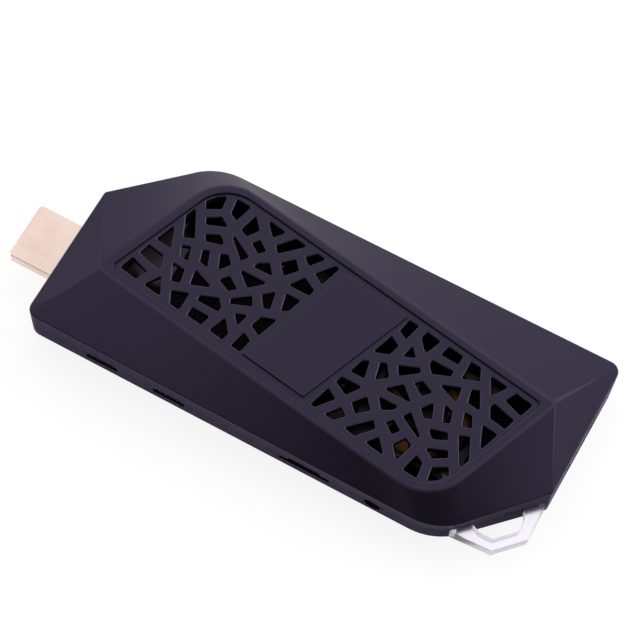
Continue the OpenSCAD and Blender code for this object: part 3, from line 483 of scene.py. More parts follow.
board_finish, root = new_finish("solder_mask")
place = root.node("ShaderNodeTexCoord", output=3)
tracks = root.node("ShaderNodeTexBrick", {"offset": 0.37, "squash": 1.0},
                   {"Vector": place, "Color1": tone(0, 0, 0), "Color2": tone(0.25, 0.25, 0.25),
                    "Mortar": tone(1, 1, 1), "Scale": 420, "Mortar Size": 0.05, "Brick Width": 1.4,
                    "Row Height": 0.5}, output=1)
pads = root.node("ShaderNodeTexVoronoi", {"feature": "F1"}, {"Vector": place, "Scale": 420})
pad_mask = root.math("LESS_THAN", pads, PAD_REACH)
mask_drift = grain(root, 160, 2)
black = mixed(root, mask_drift, tone(0.004, 0.004, 0.006), tone(0.008, 0.008, 0.011))
traced = mixed(root, tracks, black, tone(0.013, 0.013, 0.018))
padded = mixed(root, pad_mask, traced, tone(0.30, 0.24, 0.14))
to_patch = apart(root, place, PALE_PATCH_AT)
pale_patch = faded(root, to_patch + (mask_drift - 0.5) * (PALE_PATCH_RAGGED * MM), PALE_PATCH_END, PALE_PATCH_ROUND)
surfaced(root,
         Base_Color=mixed(root, pale_patch, padded, tone(0.36, 0.32, 0.41)),
         Metallic=pad_mask * 0.9,
         Roughness=0.6 + (mask_drift - 0.5) * 0.15,
         Specular_IOR_Level=0.1,
         Normal=bumped(root, tracks + pad_mask, 0.3, 0.03))
dress(board_finish, "main_board")

# Chips and small parts. Black moulded epoxy packages, the processor's green carrier, amber
# capacitors, ferrite coils, a ceramic aerial and a clear light, all soldered flat on the board.

epoxy = moulded("chip_epoxy", tone(0.010, 0.010, 0.011), tone(0.022, 0.022, 0.024), 0.55, fine=9000,
                level=0.2)
dress(epoxy, "memory_chips", "flash_chip")
for node, name, dark, light, rough, fine in (
        ("processor", "carrier_laminate", tone(0.010, 0.050, 0.028), tone(0.020, 0.085, 0.048), 0.4, 5000),
        ("power_coils", "ferrite_block", tone(0.030, 0.030, 0.034), tone(0.060, 0.060, 0.066), 0.6, 3500),
        ("capacitors", "amber_resin", tone(0.46, 0.22, 0.03), tone(0.58, 0.30, 0.06), 0.38, 3000),
        ("chip_antenna", "sintered_ceramic", tone(0.62, 0.61, 0.56), tone(0.74, 0.73, 0.68), 0.5, 4500),
        ("status_led", "light_window", tone(0.70, 0.72, 0.78), tone(0.80, 0.82, 0.88), 0.3, 6000)):
    dress(moulded(name, dark, light, rough, fine), node)

# Shield can, radio module and crystal. Thin tin-plated steel pressings soldered to the board,
# with faint rolling lines. The can's lid and the module are near black, with a faint texture.


def sheet_metal(name, dark, light, rough, stretch=(1, 12, 12), fine=900, contrast=1):
    """Rolled or plated sheet: fine lines along the rolling direction and soft stains."""
    made, root = new_finish(name)
    lines = grain(root, fine, 3, 0.6, stretch)
    stain = grain(root, 120, 2)
    surfaced(root,
             Base_Color=mixed(root, (lines + stain - 1) * 0.5 * contrast + 0.5, dark, light),
             Metallic=1.0,
             Roughness=rough + (lines - 0.5) * 0.14 + (stain - 0.5) * 0.1,
             Normal=bumped(root, lines, 0.12, 0.01))
    return made


tin_plate = sheet_metal("tin_plate", tone(0.50, 0.51, 0.53), tone(0.64, 0.65, 0.67), 0.36)
dress(tin_plate, "shield_frame", "clock_crystal")
near_black_lid = moulded("near_black_lid", tone(0.005, 0.0045, 0.006), tone(0.011, 0.010, 0.013), 0.65,
                        fine=2500, level=0.15)
dress(near_black_lid, "shield_lid", "wifi_module")

# Video plug. A pale gold plated shell folded from sheet steel, with a flat top plate that
# overhangs the sides, and a black moulded insulator with gold contacts in its slot.

PLUG_MOUTH = -69.8
PLUG_BACK = -46.2
PLUG_SKIN = 0.35
TOP_PLATE = 0.4
OVERHANG = 0.06
SIDE_SETBACK = 0.4
MOUTH_ROUND = 0.9
MOUTH_SOFT = 0.08
PLUG_ROUNDS = (0.14, 0.03, 0.02, 0.5, 0.5)
PLUG_STEPS = 5
DIMPLE_AT = 2.65
DIMPLE_X = (-69.2, -65.2)
DIMPLE_HALF = 0.7
DIMPLE_FLAT = 0.15
DIMPLE_DEPTH = 0.06
TOUCH = 0.02


def plug_outline(x, skin_in, setback, mouth_round=0):
    """Section of the shell: flat top plate, upright sides, cut lower corners."""
    side = PLUG_HALF - max(skin_in, OVERHANG)
    w = side + OVERHANG
    high = PLUG_HIGH - skin_in
    low = PLUG_LOW + skin_in
    step = high - TOP_PLATE
    half = [Vector((0, high)), Vector((w, high)), Vector((w, step)), Vector((side, step)),
            Vector((side, low + PLUG_CUT_UP)), Vector((PLUG_HALF - PLUG_CUT_ACROSS, low)), Vector((0, low))]
    right = [Vector((w - MOUTH_ROUND * sixths / 6, high)) for sixths in (8, 7, 6, 5, 4, 3)]
    for i, radius in enumerate(PLUG_ROUNDS):
        right += corner_arc(half[i], half[i + 1], half[i + 2], radius, PLUG_STEPS)
    left = [Vector((-p.x, p.y)) for p in reversed(right)]
    ring = []
    for p in right + left:
        past = min(max(0, abs(p.x) - w + mouth_round), mouth_round)
        shift = mouth_round - math.sqrt(mouth_round ** 2 - past ** 2)
        below_plate = p.y < step - TOUCH / 2
        ring.append(Vector((x + max(shift, setback if below_plate else 0), PLUG_Y + p.x, p.y)))
    return ring


plug_mesh, plug_stack = skin([
    plug_outline(PLUG_MOUTH, 0, SIDE_SETBACK, MOUTH_ROUND),
    plug_outline(PLUG_BACK, 0, 0),
    plug_outline(PLUG_BACK, PLUG_SKIN, 0),
    plug_outline(PLUG_MOUTH, PLUG_SKIN, SIDE_SETBACK, MOUTH_ROUND),
    plug_outline(PLUG_MOUTH, 0, SIDE_SETBACK, MOUTH_ROUND)])
join_ends(plug_mesh, plug_stack)
face_out(plug_mesh)
soften(plug_mesh, plug_stack[0], MOUTH_SOFT, 2)
plug_shell = new_object("plug_shell", plug_mesh)


def dimple_ring(y, inset, half, z):
    start, end = DIMPLE_X[0] + inset, DIMPLE_X[1] - inset
    corners = ((start, -half), (end, -half), (end, half), (start, half))
    return [Vector((x, y + side, z)) for x, side in corners]


dimples = bmesh.new()
for y in (PLUG_Y - DIMPLE_AT, PLUG_Y + DIMPLE_AT):
    foot = start_loop(dimples, dimple_ring(y, DIMPLE_HALF, DIMPLE_FLAT, PLUG_HIGH - DIMPLE_DEPTH))
    brim = grow_loop(dimples, foot, dimple_ring(y, 0, DIMPLE_HALF, PLUG_HIGH + TOUCH))
    cap(dimples, foot)
    cap(dimples, brim)
face_out(dimples)
carve(plug_shell, new_object("plug_tool", dimples))
pale_gold = sheet_metal("pale_gold", tone(0.70, 0.53, 0.44), tone(0.97, 0.79, 0.73), 0.36, (1, 3, 3), 1300,
                        contrast=2)
plug_shell.data.materials.append(pale_gold)
shaded(plug_shell)
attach(plug_shell, "case")
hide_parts("hdmi_shell")
black_insulator = moulded("black_insulator", tone(0.006, 0.006, 0.007), tone(0.014, 0.014, 0.016), 0.55,
                          fine=6000, level=0.2)
contact_gold = sheet_metal("contact_gold", tone(0.70, 0.47, 0.20), tone(0.86, 0.62, 0.30), 0.28)
dress(black_insulator, "hdmi_insulator")
dress(contact_gold, "hdmi_contacts")

# Tail socket. A tin-plated shell folded from sheet steel, round a white moulded tongue that
# carries four gold contacts; it is soldered to the tail edge of the board.

dress(tin_plate, "usb_shell")
dress(contact_gold, "usb_contacts")
dress(moulded("white_tongue", tone(0.66, 0.66, 0.66), tone(0.76, 0.76, 0.75), 0.45, fine=5000), "usb_tongue")

# Side ports. Two small drawn shells with black tongues, and a card socket of moulded plastic
# under a pressed steel cover, all soldered along the front edge of the board.

dress(tin_plate, "power_port_shell", "data_port_shell")
dark_nickel = sheet_metal("dark_nickel", tone(0.025, 0.024, 0.027), tone(0.05, 0.048, 0.053), 0.5)
dress(dark_nickel, "card_socket_cover")
dress(black_insulator, "power_port_tongue", "data_port_tongue", "card_socket_base")

# Power button. A round moulded cap with a dished face; its flange keeps it behind the wall,
# and it presses the plunger of a small switch on the board.

BUTTON_FACE = -25.07
BUTTON_TAIL = -20.67
FLANGE_Y = -24.02
FLANGE_ROUND = 2.45
FLANGE_BACK = FLANGE_Y + 0.7
BUTTON_DISH = ((0.5, 0.16), (1.1, 0.1), (1.55, 0), (1.75, 0), (BUTTON_ROUND, 0.15))
button_profile = [(radius, BUTTON_FACE + deep) for radius, deep in BUTTON_DISH] + [
    (BUTTON_ROUND, FLANGE_Y), (FLANGE_ROUND, FLANGE_Y), (FLANGE_ROUND, FLANGE_BACK),
    (BUTTON_ROUND, FLANGE_BACK), (BUTTON_ROUND, BUTTON_TAIL)]
button_mesh, button_stack = skin([round_y(BUTTON_X, BUTTON_Z, radius, y) for radius, y in button_profile])
cap(button_mesh, button_stack[0])
cap(button_mesh, button_stack[-1])
face_out(button_mesh)
button_cap = shaded(new_object("button_cap", button_mesh))
button_cap.data.materials.append(
    moulded("button_plastic", tone(0.004, 0.004, 0.005), tone(0.008, 0.007, 0.009), 0.45, level=0.15))
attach(button_cap, "button")
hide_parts("power_button")
dress(black_insulator, "button_switch")
plunger_plastic = moulded("plunger_plastic", tone(0.60, 0.60, 0.57), tone(0.72, 0.72, 0.69), 0.45, fine=5000)
dress(plunger_plastic, "switch_plunger")

# Cooling. A copper plate on a soft pad spreads the processor's heat, and a flat fan on brass
# standoffs draws air through the grille and over it. The copper turns near black and loses its
# metal beyond a ragged circle round the fan's axis.

FAN_AXIS = Vector((26.5, -3.474, 5.6))
COPPER_REACH = 8.6
DARK_FROM = 10
DARK_RAGGED = 1.5
copper_plate, root = new_finish("copper_plate")
drawn = grain(root, 600, 3, 0.6, (1, 9, 9))
stain = grain(root, 160, 2)
place = root.node("ShaderNodeTexCoord", output=3)
from_axis = apart(root, place, FAN_AXIS)
dark_beyond = faded(root, from_axis + (stain - 0.5) * (DARK_RAGGED * MM), COPPER_REACH, DARK_FROM)
copper = mixed(root, drawn * 0.4 + stain * 0.6, tone(0.14, 0.060, 0.024), tone(0.25, 0.115, 0.048))
surfaced(root,
         Base_Color=mixed(root, dark_beyond, copper, tone(0.008, 0.007, 0.008)),
         Metallic=1.0 - dark_beyond,
         Roughness=0.45 + (drawn - 0.5) * 0.14 + (stain - 0.5) * 0.1,
         Specular_IOR_Level=0.15,
         Normal=bumped(root, drawn, 0.12, 0.01))
dress(copper_plate, "heat_spreader", "fan_stator")
dress(moulded("silicone_pad", tone(0.34, 0.38, 0.44), tone(0.42, 0.46, 0.53), 0.7, fine=2500), "thermal_pad")
dress(contact_gold, "fan_standoffs", "fan_bearing")
black_steel = sheet_metal("black_steel", tone(0.05, 0.05, 0.055), tone(0.10, 0.10, 0.11), 0.4)
dress(black_steel, "fan_screws")
dress(tin_plate, "fan_shaft")
fan_plastic = moulded("fan_plastic", tone(0.004, 0.004, 0.006), tone(0.009, 0.009, 0.012), 0.5, fine=5000,
                      level=0.2)
dress(fan_plastic, "fan_frame", "fan_rotor")
magnet_rubber = moulded("magnet_rubber", tone(0.030, 0.028, 0.028), tone(0.055, 0.052, 0.052), 0.65,
                        fine=3500)
dress(magnet_rubber, "fan_magnet")

# Lanyard loop. Laser-cut acrylic, clear with a slight haze and brighter at its cut edges; its two
# feet pass through the cut corner and sit on posts of the lower shell. The chamfer along its top
# edge is tinted darker, a painted shade line, and edges that lie against the corner are painted in
# the wall's dark colour, a painted shade where the clear plastic would show the dark case.

LOOP_OUTER = ((-11.7, -0.62), (-10.6, -0.2), (-9.4, 0), (-9.4, -5.6), (9.4, -5.6), (9.4, 0), (10.9, 0),
              (4.1, 6.7), (-4.1, 6.7))
LOOP_EYE = ((-5.8, -2.5), (5.8, -2.5), (5.8, 0), (5, 2.15), (2.9, 4.3), (-2.9, 4.3), (-5, 2.15), (-5.8, 0))
LOOP_ROUND = 0.12
LOOP_EDGE = 0.1
POST_AT = 7.6
POST_IN = -3.8
POST_BORE = 1.22
BORE_STEPS = 32
CORNER_STEPS = 4
WALL_BAND = 0.2
UPRIGHT = 0.3


def soft_polygon(points, radius, steps=CORNER_STEPS, grow=0):
    """Polygon with round corners; a positive grow widens the corner arcs."""
    corners = [Vector(p) for p in points]
    count = len(corners)
    return [p for i in range(count)
            for p in corner_arc(corners[i - 1], corners[i], corners[(i + 1) % count], radius, steps, grow)]


def loop_level(outline, z):
    return [on_cut_corner(p.x, p.y, z) for p in outline]


def fill_between(mesh, runs):
    """Flat face with holes, between closed runs of edges at one height."""
    edges = [edge for run in runs for edge in loop_edges(mesh, run)]
    bmesh.ops.triangle_fill(mesh, use_beauty=True, edges=edges)


CUT, EDGE_SHADE, AGAINST_WALL = 1, 2, 3
loop_mesh = bmesh.new()
top_runs, low_runs = [], []
for narrow, full in (
        [soft_polygon(LOOP_OUTER, LOOP_ROUND + LOOP_EDGE, grow=g) for g in (-LOOP_EDGE, 0)],
        [soft_polygon(LOOP_EYE, LOOP_ROUND, grow=g) for g in (LOOP_EDGE, 0)],
        [circle(-POST_AT, POST_IN, POST_BORE, BORE_STEPS)] * 2,
        [circle(POST_AT, POST_IN, POST_BORE, BORE_STEPS)] * 2):
    top_runs.append(start_loop(loop_mesh, loop_level(narrow, LOOP_HIGH)))
    # The top chamfer takes the darker tint, a painted shade line.
    upper = grow_loop(loop_mesh, top_runs[-1], loop_level(full, LOOP_HIGH - LOOP_EDGE), EDGE_SHADE)
    lower = grow_loop(loop_mesh, upper, loop_level(full, LOOP_LOW + LOOP_EDGE), CUT)
    low_runs.append(grow_loop(loop_mesh, lower, loop_level(narrow, LOOP_LOW), CUT))
for runs in (top_runs, low_runs):
    fill_between(loop_mesh, runs)
face_out(loop_mesh)
# Faces that lie against the corner take the wall's finish, a painted shade for the dark case seen through the
# plastic.
for face in loop_mesh.faces:
    middle = face.calc_center_median().to_2d() / MM - loop_middle
    if middle.dot(cut_out) < WALL_BAND and middle.dot(cut_along) > 0 and abs(face.normal.z) < UPRIGHT:
        face.material_index = AGAINST_WALL
clear_loop = shaded(new_object("clear_loop", loop_mesh))


def clear_plastic(name, dark, light, rough, through):
    """Cast acrylic: a faint haze, and cutting marks that run down the edges."""
    made, root = new_finish(name)
    haze = grain(root, 260, 3)
    marks = grain(root, 1500, 2, 0.6, (1, 1, 0.1))
    surfaced(root,
             Base_Color=mixed(root, haze * 0.5 + marks * 0.5, dark, light),
             Roughness=rough + (haze - 0.5) * 0.1,
             IOR=1.25,
             Transmission_Weight=through,
             Normal=bumped(root, marks, 0.1, 0.01))
    return made


for finish in (
        clear_plastic("clear_acrylic", tone(0.92, 0.89, 1.0), tone(0.97, 0.95, 1.0), 0.40, 0.93),
        clear_plastic("cut_acrylic", tone(0.80, 0.77, 0.85), tone(0.95, 0.92, 0.99), 0.25, 0.6),
        # Painted shade: a darker tint on the chamfer along the top edge.
        clear_plastic("top_edge_shade", tone(0.40, 0.37, 0.46), tone(0.58, 0.55, 0.64), 0.3, 1.0),
        case_wall):
    clear_loop.data.materials.append(finish)
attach(clear_loop, "case")
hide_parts("lanyard_loop")

# Upper shell. Moulded in the same plastic: a faceted roof that rises from the wall's edge to a
# flat rim round a skewed opening, with a ledge inside for the vent panel. Its ridges and parts of
# the rim's edges carry painted highlights, lighter copies of the plastic, brightest on the ridges at
# the socket end.

PANEL_LONG = 84.8
PANEL_SHORT = 32.3
PANEL_TILT = -8.5
PANEL_RAKE = 69.3
PANEL_ROUND = 9
TIP_ROUND = 1
RIM = 1.9
RIM_TOP = 13.2
RIM_INSIDE = 0.7
PANEL_TOP = 12.8
PANEL_LOW = 11.4
PANEL_GAP = 0.01
RIM_TIP = 0.8
RIDGE_END = 0.69
RIDGE_HALF = 0.1
LEDGE = 0.6
CEILING = 10.8
ROOF_THICK = 1
SHOULDER_SOFT = 0.3
RIM_SOFT = 0.45
LIP_SOFT = 0.34
LIP_FACING = -0.1
SOFT_STEPS = 4
CREASE = 30


def bearing(degrees):
    return Vector((math.cos(math.radians(degrees)), math.sin(math.radians(degrees))))


panel_along = bearing(PANEL_TILT)
panel_across = bearing(PANEL_RAKE)
panel_skew = math.sin(math.radians(PANEL_RAKE - PANEL_TILT))


def skew_outline(grow, z, tip=None):
    """The panel's outline grown by a margin, with as many points as the case's outline."""
    length = PANEL_LONG / 2 + grow / panel_skew
    width = PANEL_SHORT / 2 + grow / panel_skew
    point = -panel_along * length - panel_across * width
    blunt = panel_along * length - panel_across * width
    tip_round = tip or max(TIP_ROUND + grow, LEAST_ROUND)
    a = lifted(corner_arc(-blunt, point, blunt, tip_round, 2 * TIGHT_STEPS + 1), z)
    b = lifted(corner_arc(point, blunt, -point, PANEL_ROUND + grow, WIDE_STEPS), z)
    start = Vector((-a[0].x, -a[0].y, z))
    return half_turn(a + between(a[-1], b[0], LONG_STEPS) + b + between(b[-1], start, SHORT_STEPS))


def ridge_ring(low_ring, high_ring):
    """Part of the way down the facets, where each corner's fan opens from a narrow ridge."""
    ring = [high.lerp(low, RIDGE_END) for low, high in zip(low_ring, high_ring)]
    run = TIGHT_STEPS + 1
    for first in ridge_starts:
        middle = sum(ring[first:first + run], Vector()) / run
        spread = max((p - middle).length for p in ring[first:first + run])
        for i in range(first, first + run):
            ring[i] = middle + (ring[i] - middle) * RIDGE_HALF / spread
    return ring


def satin(name, dark, light, **texture):
    """The outer faces' finish: the wall's plastic with a violet gloss."""
    return moulded(name, dark, light, 0.45, level=0.58, sheen=tone(0.67, 0.56, 1.0), **texture)


case_plastic = satin("case_plastic", tone(0.0048, 0.0038, 0.0078), tone(0.0080, 0.0064, 0.0126),
                     fine=3500, depth=0.1)
# Painted highlight: a lighter copy of the plastic for ridges, bevels of the rim and the badge's back edge.
edge_highlight = satin("edge_highlight", tone(0.018, 0.0145, 0.028), tone(0.026, 0.021, 0.039))
# Painted highlight: a still lighter copy of the plastic for the ridges at the socket end.
ridge_highlight = satin("ridge_highlight", tone(0.032, 0.026, 0.044), tone(0.044, 0.037, 0.060))
shell_finishes = (case_plastic, edge_highlight, case_wall, shaded_corner_wall, ridge_highlight)
outer_parting = wall_ring(0, PARTING + PARTING_GAP)
shoulder = case_outline(0, END_EDGE, LOW_EDGE)
rim_edge = skew_outline(RIM, RIM_TOP, RIM_TIP)
ridge_starts = [half + first for half in (0, len(shoulder) // 2) for first in (0, TIGHT_STEPS + 1)]
roof_mesh, roof_stack = skin([
    outer_parting,
    shoulder,
    ridge_ring(shoulder, rim_edge),
    rim_edge,
    skew_outline(PANEL_GAP, RIM_TOP),
    skew_outline(PANEL_GAP, PANEL_LOW),
    skew_outline(-LEDGE, PANEL_LOW),
    skew_outline(-LEDGE, CEILING),
    skew_outline(RIM_INSIDE, CEILING),
    case_outline(WALL, END_EDGE - ROOF_THICK, LOW_EDGE - ROOF_THICK),
    wall_ring(WALL, PARTING + PARTING_GAP),
    outer_parting])
join_ends(roof_mesh, roof_stack)
face_out(roof_mesh)
# Upright outer faces take the wall finish, and those on the cut corner its copy with painted shade.
for face in roof_mesh.faces:
    middle = face.calc_center_median()
    outside = face.normal.dot(middle) > 0 and middle.z < END_EDGE * MM
    if outside and abs(face.normal.z) < UPRIGHT:
        face.material_index = shell_finishes.index(shaded_corner_wall if faces_shaded_corner(face) else case_wall)
# The ridge strips carry the painted highlights, the lighter one at the socket end.
for first in ridge_starts:
    for i in range(first, first + TIGHT_STEPS):
        strip = {roof_stack[2][i], roof_stack[2][i + 1], roof_stack[3][i], roof_stack[3][i + 1]}
        ridge = next(f for f in roof_stack[2][i].link_faces if set(f.verts) == strip)
        ridge.material_index = shell_finishes.index(ridge_highlight if roof_stack[2][i].co.x > 0 else edge_highlight)
soften(roof_mesh, roof_stack[1], SHOULDER_SOFT, SOFT_STEPS)
# Rim bevel faces that face the socket end or the front carry the painted highlight.
for face in soften(roof_mesh, roof_stack[3], RIM_SOFT, SOFT_STEPS):
    if face.normal.x > 0 or face.normal.y < 0:
        face.material_index = shell_finishes.index(edge_highlight)
# Faces of the opening's bevel that turn towards the plug end carry the painted highlight.
for face in soften(roof_mesh, roof_stack[4], LIP_SOFT, SOFT_STEPS):
    if face.normal.x < LIP_FACING:
        face.material_index = shell_finishes.index(edge_highlight)
soften(roof_mesh, roof_stack[0], SEAM_SOFT, 1)
upper_shell = new_object("upper_shell", roof_mesh)
carve(upper_shell, new_object("upper_tool", wall_openings()))
for finish in shell_finishes:
    upper_shell.data.materials.append(finish)
shaded(upper_shell, CREASE)
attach(upper_shell, "case")
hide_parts("top_shell")

# Vent panel. One moulded plate with two grilles of irregular holes and a shallow pocket
# between them for the badge plate; it snaps onto the ledge of the upper shell.

HOLE_ROUND = 0.35
HOLE_EDGE = 0.18
PANEL_EDGE = 0.06
POCKET_ROUND = 0.2
POCKET_STEPS = 3
DRAWN_LONG = 85.86
DRAWN_SHORT = 32.49
# The right grille's holes, drawn on a panel of the two sizes above.
VENT_HOLES = (
    ((14.1, 12.5), (13.4, 9.1), (15.6, 8), (16.6, 12.2)),
    ((18.8, 11.9), (18.3, 10), (20.8, 6.9), (22.4, 11.3)),
    ((24.5, 11.1), (23.8, 8.5), (28.2, 8.3), (28.3, 10.6)),
    ((30.3, 10.3), (30.3, 5.7), (34.2, 7.1), (32.8, 10.1)),
    ((35.5, 9.5), (37.7, 5.1), (40.1, 8.9)),
    ((42.2, 8.5), (40.8, 5.8), (45.4, 4.2), (46.6, 7.8)),
    ((12.5, 7.2), (10.7, 1.8), (14.2, 3), (15, 5.8)),
    ((17.6, 7.4), (16.8, 4), (19.6, 5.1)),
    ((22.8, 6.5), (22.7, 5.3), (24.2, 3.5), (28.1, 5), (28.2, 6.4)),
    ((21.6, 3.6), (16.9, 1.7), (18.3, -0.5), (22, 2.4)),
    ((31.4, 3.9), (26.8, 2.1), (32.1, 0)),
    ((33.4, 4.5), (34.1, 1.3), (37.3, 0.9), (35.2, 5.2)),
    ((39.3, 4.1), (38.7, 3), (39.9, 0.5), (43.9, -0.2), (44.7, 2.6)),
    ((13.3, 0.4), (14.3, -3.9), (16.7, -1.8), (14.8, 0.9)),
    ((9.7, -1.2), (8.6, -4.7), (12.2, -4.7), (11.2, -0.4)),
    ((23.4, 1.1), (21.9, -0.3), (24.8, -2.3), (26.5, -0.3)),
    ((20.2, -1.6), (16.8, -4.8), (23.8, -4.8)),
    ((27.8, -2.2), (25.9, -4.8), (27.6, -6.6), (29.3, -5.9)),
    ((30, -1.4), (31.6, -5.5), (33.1, -4.8), (32.3, -2.1)),
    ((34.5, -0.8), (35.6, -4.3), (37.7, -3.6), (36.5, -1)),
    ((39.2, -1.6), (41.5, -7.2), (43.2, -2.1)),
    ((7.6, -6.7), (7.2, -8.4), (10.5, -10.1), (12.8, -6.7)),
    ((16.7, -6.8), (18.8, -9.4), (21.1, -8), (21.6, -6.8)),
    ((24.6, -6.6), (23.4, -8.4), (28.5, -11.2), (29, -10.8)),
    ((29.7, -8.1), (30.5, -9.3), (31.6, -9.9), (34.6, -8.5), (33.6, -7)),
    ((35.9, -6.4), (39.5, -13.1), (40.5, -10.4), (38.3, -5.4)),
    ((14.7, -8.1), (12.4, -11), (14.3, -13), (16.9, -10.6)),
    ((22.2, -10), (20.9, -11.5), (23.4, -13.3), (24.6, -11.6)),
    ((6.5, -10.4), (4.9, -15.8), (6.1, -15.9), (9.1, -12)),
    ((11.1, -13), (8.6, -16.3), (10.9, -16.6), (12.9, -14.5)),
    ((18.5, -12.2), (13.7, -17), (16.7, -17.5), (19.8, -13.8)),
    ((21.3, -15.1), (19.3, -17.7), (24.3, -18.5)),
    ((26.4, -12.5), (24.6, -15.2), (27.1, -18.1), (28.3, -13.4)),
    ((31, -12.5), (33.4, -14), (36.4, -12.1), (35.6, -10.6)),
    ((30.2, -14.8), (29.1, -19.3), (32.7, -19.6), (32.2, -15.8)),
    ((37.5, -13.9), (34.4, -15.7), (34.9, -19.1), (36.9, -17.7), (38.4, -15.6)))
BADGE_WIDE = 16.4
BADGE_LONG = 29.8
BADGE_GAP = 0.03
BADGE_LOW = 12.1
BADGE_TOP = 13.15


def badge_corners(gap):
    along = panel_along * (BADGE_WIDE / 2 + gap)
    across = panel_across * (BADGE_LONG / 2 + gap)
    return [-along - across, along - across, along + across, across - along]


def placed(point, sign):
    """A drawn point on the real panel; a sign of -1 turns it half round to the left grille."""
    p = Vector(point)
    along = panel_along * p.cross(panel_across) * PANEL_LONG / DRAWN_LONG
    across = panel_across * panel_along.cross(p) * PANEL_SHORT / DRAWN_SHORT
    return (along + across) * sign / panel_skew


panel_mesh = bmesh.new()
top_runs, low_runs = [], []
for sign in (1, -1):
    for points in VENT_HOLES:
        corners = [placed(point, sign) for point in points]
        hole = soft_polygon(corners, HOLE_ROUND)
        lip = soft_polygon(corners, HOLE_ROUND, grow=HOLE_EDGE)
        top_runs.append(start_loop(panel_mesh, lifted(lip, PANEL_TOP)))
        # The hole's chamfer takes the second finish, a painted highlight.
        throat = grow_loop(panel_mesh, top_runs[-1], lifted(hole, PANEL_TOP - HOLE_EDGE), 1)
        low_runs.append(grow_loop(panel_mesh, throat, lifted(hole, PANEL_LOW)))
top_runs.append(start_loop(panel_mesh, skew_outline(-PANEL_EDGE, PANEL_TOP)))
rim_run = grow_loop(panel_mesh, top_runs[-1], skew_outline(0, PANEL_TOP - PANEL_EDGE))
low_runs.append(grow_loop(panel_mesh, rim_run, skew_outline(0, PANEL_LOW)))
pocket = soft_polygon(badge_corners(BADGE_GAP), POCKET_ROUND, POCKET_STEPS)
top_runs.append(start_loop(panel_mesh, lifted(pocket, PANEL_TOP)))
cap(panel_mesh, grow_loop(panel_mesh, top_runs[-1], lifted(pocket, BADGE_LOW)))
for runs in (top_runs, low_runs):
    fill_between(panel_mesh, runs)
face_out(panel_mesh)
grille_panel = shaded(new_object("grille_panel", panel_mesh), CREASE)
# Painted highlight: the holes' chamfers are a much lighter copy of the plastic.
lip_highlight = satin("lip_highlight", tone(0.060, 0.050, 0.078), tone(0.080, 0.068, 0.100))
for finish in (case_plastic, lip_highlight):
    grille_panel.data.materials.append(finish)
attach(grille_panel, "case")
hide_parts("vent_panel")

# Badge plate. A thin bare plate of the same plastic, pressed into the pocket between the
# grilles, where it stands a little proud of them; its upper edge is rounded.

BADGE_ROUND = 0.35
BADGE_SOFT = 0.18
plate = soft_polygon(badge_corners(0), BADGE_ROUND)
badge_mesh, badge_stack = skin([lifted(plate, z) for z in (BADGE_LOW + TOUCH, BADGE_TOP)])
for run in badge_stack:
    cap(badge_mesh, run)
face_out(badge_mesh)
# Faces of the rounded edge that face the back carry the painted highlight.
for face in soften(badge_mesh, badge_stack[1], BADGE_SOFT, SOFT_STEPS):
    face.material_index = 1 if face.normal.y > 0 else 0
bare_badge = shaded(new_object("bare_badge", badge_mesh), CREASE)
for finish in (case_plastic, edge_highlight):
    bare_badge.data.materials.append(finish)
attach(bare_badge, "case")
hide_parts("badge_plate")

# Case screws. Small blackened steel screws with flat heads and cross recesses, sunk into
# the underside at the four bosses.

HEAD_LOW = 0.2
HEAD_CHAMFER = 0.2
SHANK_ROUND = 1
SHANK_TOP = 7.1
POINT_LONG = 0.6
POINT_ROUND = 0.5
CROSS_LONG = 1.1
CROSS_HALF = 0.2
CROSS_DEEP = 0.5
screw_mesh = bmesh.new()
for x, y in SCREWS:
    run = start_loop(screw_mesh, round_z(x, y, HEAD_ROUND - HEAD_CHAMFER, HEAD_LOW))
    cap(screw_mesh, run)
    for radius, z in ((HEAD_ROUND, HEAD_LOW + HEAD_CHAMFER), (HEAD_ROUND, HEAD_DEPTH),
                      (SHANK_ROUND, HEAD_DEPTH), (SHANK_ROUND, SHANK_TOP - POINT_LONG),
                      (POINT_ROUND, SHANK_TOP)):
        run = grow_loop(screw_mesh, run, round_z(x, y, radius, z))
    cap(screw_mesh, run)
face_out(screw_mesh)
shell_screws = new_object("shell_screws", screw_mesh)
a, b = CROSS_LONG, CROSS_HALF
cross = ((-a, -b), (-b, -b), (-b, -a), (b, -a), (b, -b), (a, -b),
         (a, b), (b, b), (b, a), (-b, a), (-b, b), (-a, b))
crosses = bmesh.new()
for x, y in SCREWS:
    prism(crosses, [(x + p, y + q, HEAD_LOW - TOOL_OUT) for p, q in cross], (0, 0, TOOL_OUT + CROSS_DEEP))
face_out(crosses)
carve(shell_screws, new_object("cross_tool", crosses))
shell_screws.data.materials.append(black_steel)
shaded(shell_screws)
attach(shell_screws, "case")
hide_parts("case_screws")

# Studio. A wide matt table that looks white to the camera, soft light that is strongest from
# behind and weakest from the front right, and a long lens from the front at a steep angle.

